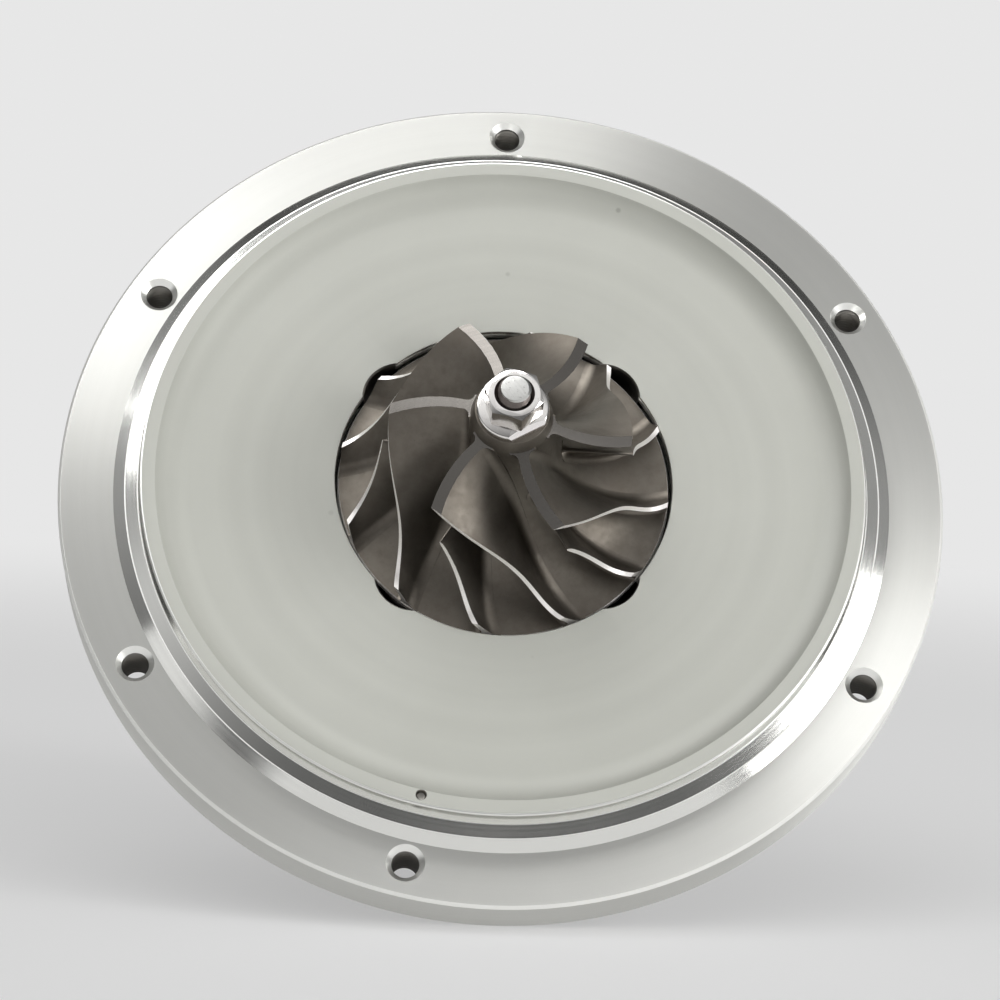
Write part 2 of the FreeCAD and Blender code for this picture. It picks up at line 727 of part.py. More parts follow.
def oil_ways():
    """The inlet thread, the galleries to both bearings, the drains and the drain bolt holes."""
    middle = FreeCAD.Vector(0, inlet_boss_height - inlet_thread_depth - feed_length, oil_axis)
    mouth = FreeCAD.Vector(0, inlet_boss_height, oil_axis)
    thread_end = FreeCAD.Vector(0, inlet_boss_height - inlet_thread_depth, oil_axis)
    shapes = [way(inlet_thread_radius, thread_end, mouth), way(feed_radius, middle, thread_end)]
    for top in (bearing_front, bearing_rear):
        bearing_centre = FreeCAD.Vector(0, journal_radius, top - bearing_length / 2)
        shapes.append(way(gallery_radius, bearing_centre, middle))
    axis_point = FreeCAD.Vector(0, 0, oil_axis)
    shapes.append(way(drain_hole_radius, FreeCAD.Vector(0, -drain_face, oil_axis), axis_point))
    merge = FreeCAD.Vector(0, -drain_merge_radius, oil_axis)
    front_start = FreeCAD.Vector(0, front_drain_inset - cavity_radius, thrust_back + front_drain_lift)
    rear_start = FreeCAD.Vector(0, rear_drain_radius - slinger_radius, slinger_front - slinger_room / 2)
    shapes.append(way(front_drain_radius, front_start, merge))
    shapes.append(way(rear_drain_radius, rear_start, merge))
    for x in (-drain_bolt_spacing / 2, drain_bolt_spacing / 2):
        bolt_end = FreeCAD.Vector(x, -drain_face, oil_axis)
        shapes.append(way(drain_bolt_radius, bolt_end, bolt_end + FreeCAD.Vector(0, drain_flange_thickness, 0)))
    return shapes


def bearing_housing():
    """The cast housing: two flanges, the oil inlet boss, the drain flange and its oil ways."""
    front_flange_back = joint_face - front_flange_thickness
    turbine_flange_front = turbine_face + turbine_flange_thickness
    body = turned([
        (0, joint_face), (0, turbine_nose),
        (turbine_nose_radius, turbine_nose),
        (turbine_nose_radius, turbine_face - turbine_spigot_height),
        (turbine_spigot_radius, turbine_face - turbine_spigot_height),
        (turbine_spigot_radius, turbine_face),
        (turbine_flange_radius, turbine_face),
        (turbine_flange_radius, turbine_flange_front),
        (waist_radius + housing_fillet, turbine_flange_front, housing_fillet),
        (waist_radius, oil_axis, housing_fillet * 2),
        (waist_radius + housing_fillet / 2, front_flange_back, housing_fillet),
        (front_flange_radius, front_flange_back),
        (front_flange_radius, joint_face),
    ])
    inlet = Part.makeCylinder(inlet_boss_radius, inlet_boss_height, FreeCAD.Vector(0, 0, oil_axis),
                              FreeCAD.Vector(0, 1, 0))
    body = body.fuse([inlet, drain_flange()])
    cuts = [
        cylinder(cavity_radius, thrust_back, joint_face),
        cylinder(thrust_collar_radius + loose_gap * 2, collar_pocket_floor, thrust_back),
        cylinder(bearing_bore_radius, slinger_front, collar_pocket_floor),
        cylinder(middle_cavity_radius, clip_tops[1] + clip_thickness,
                 clip_tops[0] - clip_thickness * 2),
        cylinder(slinger_radius, turbine_seal_front, slinger_front),
        cylinder(turbine_seal_bore, turbine_nose, turbine_seal_front),
    ]
    for top in clip_tops:
        cuts.append(cylinder(bearing_bore_radius + clip_depth, top - clip_thickness, top))
    screw_end = screw_seat - plate_screw_length
    screw_hole = cylinder(plate_screw_radius + thread_gap, screw_end - blind_hole_room, joint_face)
    screw_hole.translate(FreeCAD.Vector(plate_screw_circle, 0, 0))
    cuts += at_angles(screw_hole, plate_screw_angles)
    thrust_screw_end = thrust_front - thrust_screw_length - blind_hole_room
    thrust_hole = cylinder(thrust_screw_radius + thread_gap, thrust_screw_end, thrust_back)
    thrust_hole.translate(FreeCAD.Vector(thrust_screw_circle, 0, 0))
    cuts += around(thrust_hole, thrust_screw_count, thrust_screw_angle)
    pin_hole = cylinder(pin_radius + seat_gap, turbine_face, turbine_face - pin_stand_out + pin_length)
    pin_hole.translate(point(pin_circle, pin_angle, 0))
    return body.cut(cuts + [pin_hole] + oil_ways())


def pieces():
    """Every piece by its name."""
    named = {
        "seal_plate": seal_plate(),
        "seal_plate_screws": seal_plate_screws(),
        "seal_plate_o_ring": seal_plate_o_ring(),
        "compressor_wheel": compressor_wheel(),
        "shaft_nut": shaft_nut(),
        "shaft": shaft(),
        "turbine_wheel": turbine_wheel(),
        "oil_flinger": oil_flinger(),
        "compressor_seal_ring": piston_ring(seal_bore_radius, wheel_boss_back - compressor_ring_offset),
        "oil_deflector": oil_deflector(),
        "thrust_collar_front": thrust_collar_front(),
        "thrust_bearing": thrust_bearing(),
        "thrust_bearing_screws": thrust_bearing_screws(),
        "thrust_collar_rear": thrust_collar_rear(),
        "journal_bearing_compressor": journal_bearing(bearing_front),
        "journal_bearing_turbine": journal_bearing(bearing_rear),
        "bearing_housing": bearing_housing(),
        "heat_shield": heat_shield(),
        "turbine_flange_pin": turbine_flange_pin(),
    }
    for index, top in enumerate(clip_tops):
        named["bearing_clip_" + str(index + 1)] = bearing_clip(top)
    for index in range(turbine_ring_count):
        named["turbine_seal_ring_" + str(index + 1)] = piston_ring(turbine_seal_bore, turbine_ring_top(index))
    return named


def main():
    """Write each piece to its own file in the parts folder."""
    os.makedirs("parts", exist_ok=True)
    for name, shape in pieces().items():
        shape.exportStep("parts/" + name + ".step")


main()
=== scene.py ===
"""Turbo cartridge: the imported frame, dressed with finished pieces, and photographed from above."""

import json
import logging
import math
from dataclasses import dataclass, field
from enum import Enum, IntEnum
from typing import Callable, ClassVar, Sequence

import bmesh
import bpy
import numpy as np
from mathutils import Matrix, Vector

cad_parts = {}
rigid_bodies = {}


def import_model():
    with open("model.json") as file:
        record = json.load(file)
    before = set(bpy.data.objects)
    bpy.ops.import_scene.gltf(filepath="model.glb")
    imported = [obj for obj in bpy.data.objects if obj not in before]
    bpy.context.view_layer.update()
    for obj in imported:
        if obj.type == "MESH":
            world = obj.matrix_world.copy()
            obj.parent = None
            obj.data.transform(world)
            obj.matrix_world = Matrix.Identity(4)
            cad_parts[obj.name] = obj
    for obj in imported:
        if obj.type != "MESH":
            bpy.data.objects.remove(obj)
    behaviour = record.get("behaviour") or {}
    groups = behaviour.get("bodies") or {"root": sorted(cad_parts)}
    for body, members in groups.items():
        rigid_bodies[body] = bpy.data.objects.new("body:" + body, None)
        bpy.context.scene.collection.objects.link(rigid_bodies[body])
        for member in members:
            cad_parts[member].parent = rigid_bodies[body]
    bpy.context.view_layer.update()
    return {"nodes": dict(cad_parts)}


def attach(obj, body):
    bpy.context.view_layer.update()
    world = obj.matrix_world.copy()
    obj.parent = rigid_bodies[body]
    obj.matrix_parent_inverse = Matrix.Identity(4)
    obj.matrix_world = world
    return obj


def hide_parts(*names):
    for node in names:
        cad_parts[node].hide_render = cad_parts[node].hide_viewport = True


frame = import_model()

LOG = logging.getLogger("cartridge")
MM = 0.001
SHARP_ANGLE = math.radians(28.0)

Colour = tuple[float, float, float]
Profile = list[tuple[float, float]]


class Body(Enum):
    """The bodies of the frame that a piece can ride on."""

    HOUSING = "housing"
    ROTOR = "rotor"


class Slot(Enum):
    """The record's material slots that the dressed pieces take their finish from."""

    PLATE = "plate_aluminium"
    WHEEL = "wheel_aluminium"
    NUT = "bright_steel"
    SHAFT = "ground_steel"
    SCREW = "dark_steel"
    SHIELD = "shield_steel"
    TURBINE = "turbine_alloy"


class PlateZone(IntEnum):
    """The finishes of the seal plate's turned faces, in the order of its materials."""

    LAND = 0
    RING = 1
    FACE = 2
    BACK = 3
    # The broken edges, in the lighter copy of the metal: painted highlight lines.
    EDGE = 4
    RIM_EDGE = 5


class BladeZone(IntEnum):
    """The finishes of a blade, in the order of its materials."""

    CAST = 0
    EDGE = 1
    FRONT = 2


class Wire:
    """A shader socket that takes part in ordinary Python arithmetic."""

    def __init__(self, sheet: "Sheet", socket: bpy.types.NodeSocket) -> None:
        """Args:
            sheet: the node sheet that the socket is on.
            socket: an output socket.
        """
        self.sheet = sheet
        self.socket = socket

    def math(self, operation: str, *others: "Wire | float") -> "Wire":
        """Run this value through a Math node.

        Args:
            operation: the node's operation.
            others: its further inputs.

        Returns:
            The result.
        """
        values = dict(enumerate((self, *others)))
        return self.sheet.node("ShaderNodeMath", {"operation": operation}, values)

    def __add__(self, other: "Wire | float") -> "Wire":
        """Sum."""
        return self.math("ADD", other)

    __radd__ = __add__

    def __sub__(self, other: "Wire | float") -> "Wire":
        """Difference."""
        return self.math("SUBTRACT", other)

    def __rsub__(self, other: float) -> "Wire":
        """Reflected difference, so that 1 - mask works."""
        return self.math("MULTIPLY_ADD", -1.0, other)

    def __mul__(self, other: "Wire | float") -> "Wire":
        """Product."""
        return self.math("MULTIPLY", other)

    __rmul__ = __mul__

    def __pow__(self, other: "Wire | float") -> "Wire":
        """Power."""
        return self.math("POWER", other)

    def step(self, low: float, high: float) -> "Wire":
        """Run this value through a smooth step.

        Args:
            low: where the result is 0, which may lie above high.
            high: where the result is 1.

        Returns:
            The step, from 0 to 1.
        """
        rising = low < high
        limits = {"From Min": min(low, high), "From Max": max(low, high),
                  "To Min": 0.0 if rising else 1.0, "To Max": 1.0 if rising else 0.0}
        return self.sheet.node("ShaderNodeMapRange", {"interpolation_type": "SMOOTHSTEP"},
                               {"Value": self, **limits})


class Sheet:
    """The node sheet of a material or of the sky, with a single method that places every node."""

    def __init__(self, owner: "bpy.types.Material | bpy.types.World") -> None:
        """Args:
            owner: the material or sky whose nodes are laid out anew.
        """
        owner.use_nodes = True
        self.owner = owner
        self.tree = owner.node_tree
        self.tree.nodes.clear()

    def seen_rays(self) -> Wire:
        """Tell the rays that see from the rays that light.

        Returns:
            1 for rays from the camera, straight, mirrored or through glass, and 0 for light.
        """
        rays = ("Is Camera Ray", "Is Glossy Ray", "Is Transmission Ray")
        camera, gloss, clear = (self.node("ShaderNodeLightPath", output=ray) for ray in rays)
        return (camera + gloss + clear).math("MINIMUM", 1.0)

    @staticmethod
    def find(sockets: bpy.types.bpy_prop_collection, key: str | int) -> bpy.types.NodeSocket:
        """Find a socket of a node.

        Args:
            sockets: the node's inputs or outputs.
            key: the socket's index, identifier or name.

        Returns:
            The socket.
        """
        if isinstance(key, int):
            return sockets[key]
        by_identifier = [s for s in sockets if s.identifier == key]
        return (by_identifier or [s for s in sockets if s.name == key])[0]

    def node(self, kind: str, settings: dict | None = None, inputs: dict | None = None,
             output: str | int = 0) -> Wire:
        """Place a node.

        Args:
            kind: the node's type.
            settings: its settings, set before its sockets; "stops" fills a colour ramp.
            inputs: values or wires by socket.
            output: the socket to return.

        Returns:
            The chosen output.
        """
        placed = self.tree.nodes.new(kind)
        for key, value in (settings or {}).items():
            if key != "stops":
                setattr(placed, key, value)
                continue
            ramp = placed.color_ramp
            while len(ramp.elements) < len(value):
                ramp.elements.new(0.5)
            for element, (position, colour) in zip(ramp.elements, value):
                element.position = position
                element.color = (*colour, 1.0)
        for key, value in (inputs or {}).items():
            socket = self.find(placed.inputs, key)
            if isinstance(value, Wire):
                self.tree.links.new(value.socket, socket)
            else:
                socket.default_value = value
        return Wire(self, self.find(placed.outputs, output)) if placed.outputs else None

    def millimetres(self) -> Wire:
        """The place on the piece, in millimetres."""
        place = self.node("ShaderNodeTexCoord", output="Object")
        return self.node("ShaderNodeVectorMath", {"operation": "SCALE"}, {0: place, "Scale": 1.0 / MM})

    def parts(self, vector: Wire) -> tuple[Wire, Wire, Wire]:
        """Split a vector.

        Args:
            vector: the vector.

        Returns:
            Its X, Y and Z.
        """
        split = self.node("ShaderNodeSeparateXYZ", None, {0: vector})
        outputs = split.socket.node.outputs
        return split, Wire(self, outputs[1]), Wire(self, outputs[2])

    def noise(self, vector: Wire, scale: float, detail: float = 3.0, rough: float = 0.5) -> Wire:
        """Cloudy noise from 0 to 1, with scale in cells per millimetre."""
        return self.node("ShaderNodeTexNoise", None,
                         {"Vector": vector, "Scale": scale, "Detail": detail, "Roughness": rough})

    def bands(self, along: Wire, scale: float, detail: float = 2.0) -> Wire:
        """Noise that changes along one value only, as tool marks do."""
        return self.node("ShaderNodeTexNoise", {"noise_dimensions": "1D"},
                         {"W": along, "Scale": scale, "Detail": detail})

    def dots(self, vector: Wire, scale: float, size: float, share: float) -> Wire:
        """Sparse round specks: a mask of 1 inside a speck.

        Args:
            vector: the place.
            scale: cells per millimetre.
            size: a speck's radius as a share of its cell.
            share: how many of the cells hold one.

        Returns:
            The mask.
        """
        distance = self.node("ShaderNodeTexVoronoi", None, {"Vector": vector, "Scale": scale}, "Distance")
        chance = self.node("ShaderNodeTexVoronoi", None, {"Vector": vector, "Scale": scale}, "Color")
        red = self.node("ShaderNodeSeparateColor", None, {0: chance})
        return distance.step(size, size * 0.4) * red.step(share + 0.01, share)

    def blend(self, factor: Wire | float, first: "Wire | Colour", second: "Wire | Colour",
              kind: str = "MIX") -> Wire:
        """Mix two colours.

        Args:
            factor: how much of the second colour shows.
            first: a wire or a colour.
            second: another wire or colour.
            kind: the node's blend type.

        Returns:
            The mixed colour.
        """
        base, cover = (side if isinstance(side, Wire) else (*side, 1.0) for side in (first, second))
        return self.node("ShaderNodeMix", {"data_type": "RGBA", "blend_type": kind},
                         {"Factor_Float": factor, "A_Color": base, "B_Color": cover}, "Result_Color")

    def bump(self, height: Wire, depth: float) -> Wire:
        """A normal bumped by a height of 0 to 1, with its full depth in millimetres."""
        return self.node("ShaderNodeBump", None,
                         {"Strength": 1.0, "Distance": depth * MM, "Height": height})

    def surface(self, varying: dict[str, Wire], constants: dict[str, float]) -> bpy.types.Material:
        """Close the sheet with a Principled shader.

        Args:
            varying: what changes over the surface.
            constants: what is the same all over it.

        Returns:
            The material.
        """
        shader = self.node("ShaderNodeBsdfPrincipled", None, {**constants, **varying})
        self.node("ShaderNodeOutputMaterial", None, {"Surface": shader})
        return self.owner


@dataclass(frozen=True)
class Finish:
    """A finish that makes its material once and then hands it out."""

    name: str
    colour: Colour
    roughness: float = 0.4
    metallic: float = 1.0
    made: ClassVar[dict[str, bpy.types.Material]] = {}

    def material(self) -> bpy.types.Material:
        """Make the finish's material when it is first asked for.

        Returns:
            The material.
        """
        if self.name not in self.made:
            self.made[self.name] = self.build(Sheet(bpy.data.materials.new(self.name)))
        return self.made[self.name]

    def build(self, sheet: Sheet) -> bpy.types.Material:
        """Lay out the nodes; each finish has its own."""
        raise NotImplementedError


@dataclass(frozen=True)
class TurnedMetal(Finish):
    """Metal faced on a lathe: fine rings about the shaft axis, and a sheen that follows them."""

    sheen: float = 0.6
    sheen_turn: float = 0.25
    ring_depth: float = 0.004
    ring_scale: float = 2.2
    cloud: float = 0.05
    cloud_scale: float = 0.045
    grain_scale: float = 5.0
    speck_share: float = 0.0
    speck_scale: float = 0.35
    speck_size: float = 0.13
    speck_colour: Colour = (0.16, 0.14, 0.12)

    def build(self, sheet: Sheet) -> bpy.types.Material:
        """Lay out rings from the radius, clouds from the place, and a few specks.

        Args:
            sheet: the empty sheet.

        Returns:
            The material.
        """
        place = sheet.millimetres()
        x, y, z = sheet.parts(place)
        radius = (x * x + y * y) ** 0.5
        along = radius + z * 0.7
        rings = sheet.bands(along, self.ring_scale, 3.0)
        broad = sheet.bands(along, self.ring_scale * 0.15, 1.0)
        clouds = sheet.noise(place, self.cloud_scale, 4.0, 0.6)
        grain = sheet.noise(place, self.grain_scale, 2.0, 0.6)
        shade = 1.0 + (clouds - 0.5) * self.cloud * 2.0 + (broad - 0.5) * self.cloud
        tone = sheet.node("ShaderNodeCombineColor", None, {0: shade, 1: shade, 2: shade})
        colour = sheet.blend(1.0, self.colour, tone, "MULTIPLY")
        if self.speck_share > 0.0:
            specks = sheet.dots(place, self.speck_scale, self.speck_size, self.speck_share)
            colour = sheet.blend(specks * 0.4, colour, self.speck_colour)
        rough = (rings - 0.5) * 0.10 + (clouds - 0.5) * 0.08 + self.roughness
        height = rings * 0.7 + grain * 0.3
        return sheet.surface(
            {"Base Color": colour, "Roughness": rough, "Normal": sheet.bump(height, self.ring_depth)},
            {"Metallic": self.metallic, "Anisotropic": self.sheen, "Anisotropic Rotation": self.sheen_turn},
        )


@dataclass(frozen=True)
class CastMetal(Finish):
    """Cast metal: a fine pitted skin with cloudy stains."""

    stain: Colour = (0.1, 0.08, 0.07)
    stain_share: float = 0.5
    skin_scale: float = 1.6
    skin_depth: float = 0.05
    stain_scale: float = 0.09

    def skin(self, sheet: Sheet, place: Wire) -> tuple[Wire, Wire, Wire]:
        """Lay two sizes of stain over two sizes of skin grain.

        Args:
            sheet: the sheet.
            place: the place on the piece, in millimetres.

        Returns:
            The colour, the roughness and the height.
        """
        skin = sheet.noise(place, self.skin_scale, 5.0, 0.65)
        pits = sheet.noise(place, self.skin_scale * 3.5, 2.0, 0.5)
        clouds = sheet.noise(place, self.stain_scale, 5.0, 0.6)
        patches = sheet.noise(place, self.stain_scale * 5.0, 3.0, 0.6)
        mask = (clouds * 0.6 + patches * 0.4).step(0.38, 0.66)
        colour = sheet.blend(mask * self.stain_share, self.colour, self.stain)
        colour = sheet.blend(pits.step(0.62, 0.75) * 0.35, colour, self.stain)
        rough = (skin - 0.5) * 0.25 + (patches - 0.5) * 0.15 + self.roughness
        return colour, rough, skin * 0.7 + pits * 0.3

    def build(self, sheet: Sheet) -> bpy.types.Material:
        """Lay the skin all over.

        Args:
            sheet: the empty sheet.

        Returns:
            The material.
        """
        colour, rough, height = self.skin(sheet, sheet.millimetres())
        return sheet.surface(
            {"Base Color": colour, "Roughness": rough, "Normal": sheet.bump(height, self.skin_depth)},
            {"Metallic": self.metallic},
        )


@dataclass(frozen=True)
class DressedCasting(CastMetal):
    """A casting whose flanges and ports were turned and milled, found by where they lie."""

    machined: Colour = (0.44, 0.43, 0.42)
    turbine_face: float = -66.0
    turbine_flange: tuple[float, float] = (37.0, -60.5)
    front_flange: tuple[float, float] = (30.0, -23.0)
    inlet_face: float = 33.0
    drain_face: float = -37.0
    face_skin: float = 0.25
    rim_skin: float = 0.35
    flange_skin: float = 0.5

    @staticmethod
    def past(value: Wire, face: float, skin: float, fade: float = 0.05) -> Wire:
        """1 from a skin under a face outwards; a face that looks down has a skin below 0."""
        return value.step(face - skin, face - skin + math.copysign(fade, skin))

    def build(self, sheet: Sheet) -> bpy.types.Material:
        """Lay tool marks and a lighter tone on the machined faces, and the cast skin elsewhere.

        Args:
            sheet: the empty sheet.

        Returns:
            The material.
        """
        place = sheet.millimetres()
        x, y, z = sheet.parts(place)
        radius = (x * x + y * y) ** 0.5
        colour, rough, height = self.skin(sheet, place)
        ports = (self.past(y, self.inlet_face, self.face_skin)
                 + self.past(y, self.drain_face, -self.face_skin))
        (wide, behind), (small, before) = self.turbine_flange, self.front_flange
        rims = (self.past(radius, wide, self.rim_skin) * self.past(z, behind, -self.flange_skin, 0.1)
                + self.past(radius, small, self.rim_skin) * self.past(z, before, self.flange_skin, 0.1))
        turned_side = self.past(z, self.turbine_face, -self.face_skin)
        mask = (ports + rims + turned_side).math("MINIMUM", 1.0)
        marks = sheet.bands((radius + z * 0.7) * (1.0 - ports) + (x * 0.8 + z * 0.6) * ports, 1.8, 3.0)
        clouds = sheet.noise(place, 0.12, 4.0)
        metal = sheet.blend(clouds.step(0.4, 0.75) * 0.4, self.machined, self.stain)
        dull = 1.0 - mask
        return sheet.surface(
            {"Base Color": sheet.blend(mask, colour, metal),
             "Roughness": rough * dull + (marks * 0.16 + 0.28) * mask,
             "Normal": sheet.bump(height * dull + marks * mask * 0.08, self.skin_depth)},
            {"Metallic": self.metallic},
        )


@dataclass(frozen=True)
class MachinedMetal(Finish):
    """Milled or ground metal: faint straight tool lines, small scuffs and a little cloud."""

    line_scale: float = 3.0
    line_depth: float = 0.003
    scuff: Colour = (0.3, 0.28, 0.25)
    scuff_share: float = 0.25

    def build(self, sheet: Sheet) -> bpy.types.Material:
        """Lay out lines across the piece, with scuffs and clouds over them.

        Args:
            sheet: the empty sheet.

        Returns:
            The material.
        """
        place = sheet.millimetres()
        x, y, z = sheet.parts(place)
        lines = sheet.bands(x * 0.8 + y * 0.55 + z * 0.9, self.line_scale, 3.0)
        clouds = sheet.noise(place, 0.35, 4.0, 0.6)
        scuffs = sheet.noise(place, 1.8, 5.0, 0.7)
        mask = (scuffs.step(0.56, 0.72) * self.scuff_share
                + clouds.step(0.5, 0.75) * self.scuff_share * 0.5)
        colour = sheet.blend(mask, self.colour, self.scuff)
        rough = (lines - 0.5) * 0.12 + (scuffs - 0.5) * 0.2 + self.roughness
        return sheet.surface(
            {"Base Color": colour, "Roughness": rough,
             "Normal": sheet.bump(lines * 0.6 + scuffs * 0.4, self.line_depth)},
            {"Metallic": self.metallic},
        )


@dataclass(frozen=True)
class SoftSkin(Finish):
    """Moulded rubber: dull and slightly cloudy."""

    bloom: Colour = (0.07, 0.07, 0.07)

    def build(self, sheet: Sheet) -> bpy.types.Material:
        """Lay out low clouds in colour and roughness, with a fine bump.

        Args:
            sheet: the empty sheet.

        Returns:
            The material.
        """
        place = sheet.millimetres()
        clouds = sheet.noise(place, 0.4, 3.0)
        grain = sheet.noise(place, 4.0, 3.0)
        colour = sheet.blend(clouds.step(0.4, 0.7) * 0.4, self.colour, self.bloom)
        return sheet.surface(
            {"Base Color": colour, "Roughness": (clouds - 0.5) * 0.2 + self.roughness,
             "Normal": sheet.bump(grain, 0.01)},
            {"Metallic": self.metallic},
        )


LAND = TurnedMetal("land turned", (0.60, 0.60, 0.575), 0.46, sheen=0.92, cloud=0.06, ring_depth=0.003)
RING_BANDS = TurnedMetal("ring turned", (0.80, 0.80, 0.77), 0.13, sheen=0.3, cloud=0.04, ring_depth=0.0015)
EDGE_SOFT = TurnedMetal("soft edge", (0.80, 0.80, 0.77), 0.5, metallic=0.3, sheen=0.0)
# A lighter copy of the plate's turned metal for the broken edges and countersinks: painted highlight lines.
EDGE_HIGHLIGHT = TurnedMetal("edge painted highlight", (0.90, 0.90, 0.87), 0.32, sheen=0.0, ring_depth=0.001)
PLATE_FACE = TurnedMetal("plate satin", (0.490, 0.495, 0.451), 0.55, metallic=0.1, sheen=0.0, cloud=0.06,
                         ring_depth=0.0015, speck_share=0.05, speck_scale=0.22)
PLATE_BACK = TurnedMetal("plate back", (0.50, 0.50, 0.47), 0.42, sheen=0.4, cloud=0.08)
# A dark copy of the plate's metal for the walls of the holes, pockets and drill spot: painted shade in the
# recesses.
SHADED_HOLE_WALL = TurnedMetal("hole wall painted shade", (0.25, 0.24, 0.22), 0.34, sheen=0.0, ring_scale=1.3,
                        ring_depth=0.03)
WHEEL_CAST = CastMetal("wheel cast", (0.178, 0.161, 0.138), 0.49, stain=(0.108, 0.091, 0.074),
                       stain_share=0.45, skin_scale=1.1, skin_depth=0.02)
BLADE_EDGE = MachinedMetal("blade edge", (0.90, 0.87, 0.84), 0.42, metallic=0.75,
                           scuff=(0.60, 0.56, 0.52))
BLADE_FRONT = TurnedMetal("blade front", (0.150, 0.141, 0.130), 0.24, sheen=0.92, ring_depth=0.003)
NUT_STEEL = MachinedMetal("nut steel", (0.76, 0.74, 0.72), 0.15, scuff=(0.40, 0.36, 0.33))
GROUND_SPOT = MachinedMetal("nut ground spot", (0.93, 0.90, 0.89), 0.30, line_scale=6.0,
                            line_depth=0.01, scuff_share=0.05)
STUD_STEEL = MachinedMetal("stud steel", (0.62, 0.62, 0.60), 0.34, scuff=(0.25, 0.24, 0.23),
                           scuff_share=0.95, line_depth=0.06)
# Dark steel for the thread, also used on the nut's bore and mouth as painted shade in the ring round the
# stud.
THREAD_STEEL_AND_SHADE = MachinedMetal("thread steel and painted shade", (0.16, 0.14, 0.13), 0.40, scuff=(0.30, 0.27, 0.25))
SHAFT_STEEL = TurnedMetal("shaft ground", (0.60, 0.59, 0.58), 0.25, sheen=0.5)
SCREW_STEEL = MachinedMetal("screw oxide", (0.045, 0.043, 0.042), 0.38, metallic=0.9,
                            scuff=(0.16, 0.14, 0.12), scuff_share=0.35)
IRON_CAST = DressedCasting("iron cast", (0.20, 0.19, 0.18), 0.62, stain=(0.11, 0.085, 0.07),
                           stain_share=0.55, skin_scale=1.0, skin_depth=0.12)
SHIELD_SHEET = TurnedMetal("shield sheet", (0.47, 0.45, 0.42), 0.36, sheen=0.25, cloud=0.12,
                           ring_depth=0.006)
TURBINE_CAST = CastMetal("turbine cast", (0.27, 0.26, 0.25), 0.48, stain=(0.15, 0.13, 0.12),
                         stain_share=0.5, skin_scale=1.2, skin_depth=0.05)
TURBINE_EDGE = MachinedMetal("turbine edge", (0.50, 0.49, 0.47), 0.30)
BRONZE = TurnedMetal("bearing bronze", (0.60, 0.40, 0.19), 0.30, sheen=0.3)
RING_IRON = TurnedMetal("ring iron", (0.32, 0.32, 0.31), 0.38, sheen=0.3)
RUBBER = SoftSkin("seal rubber", (0.025, 0.025, 0.025), 0.55, metallic=0.0)


class Shell:
    """Points and faces gathered for one mesh, in millimetres, with a finish mark on each face."""

    def __init__(self) -> None:
        """Start empty."""
        self.points: list[tuple[float, float, float]] = []
        self.faces: list[tuple[int, ...]] = []
        self.marks: list[int] = []

    def grid(self, rows: np.ndarray, wrap: bool = False, mark: int = 0) -> None:
        """Add a quilt of four-cornered faces.

        Args:
            rows: points as rows x columns x 3.
            wrap: whether the last column joins the first.
            mark: the finish of its faces.
        """
        start = len(self.points)
        count, width = rows.shape[:2]
        self.points.extend(map(tuple, rows.reshape(-1, 3).tolist()))
        last = width if wrap else width - 1
        for row in range(count - 1):
            for column in range(last):
                beside = (column + 1) % width
                low = start + row * width
                high = low + width
                self.faces.append((low + column, low + beside, high + beside, high + column))
                self.marks.append(mark)

    def fan(self, outline: np.ndarray, mark: int = 0) -> None:
        """Close an outline with one flat face.

        Args:
            outline: the points in order.
            mark: the finish of the face.
        """
        start = len(self.points)
        self.points.extend(map(tuple, outline.tolist()))
        self.faces.append(tuple(range(start, start + len(outline))))
        self.marks.append(mark)

    def mesh(self, name: str, finishes: Sequence[Finish]) -> bpy.types.Mesh:
        """A closed mesh with merged points and outward faces.

        Args:
            name: the mesh's name.
            finishes: the finish that each mark stands for.

        Returns:
            The mesh, in metres.
        """
        mesh = bpy.data.meshes.new(name)
        mesh.from_pydata([tuple(c * MM for c in point) for point in self.points], [], self.faces)
        mesh.polygons.foreach_set("material_index", self.marks)
        for finish in finishes:
            mesh.materials.append(finish.material())
        work = bmesh.new()
        work.from_mesh(mesh)
        bmesh.ops.remove_doubles(work, verts=work.verts, dist=1e-7)
        bmesh.ops.dissolve_degenerate(work, edges=work.edges, dist=1e-8)
        bmesh.ops.recalc_face_normals(work, faces=work.faces)
        work.to_mesh(mesh)
        work.free()
        smooth(mesh)
        return mesh


def smooth(mesh: bpy.types.Mesh) -> None:
    """Shade a mesh smooth, with its sharp edges kept.

    Args:
        mesh: the mesh.
    """
    mesh.polygons.foreach_set("use_smooth", [True] * len(mesh.polygons))
    mesh.set_sharp_from_angle(angle=SHARP_ANGLE)
    mesh.update()


def link(name: str, mesh: bpy.types.Mesh) -> bpy.types.Object:
    """Put a mesh into the scene as an object at the origin.

    Args:
        name: the object's name.
        mesh: the mesh.

    Returns:
        The object.
    """
    thing = bpy.data.objects.new(name, mesh)
    bpy.context.scene.collection.objects.link(thing)
    return thing


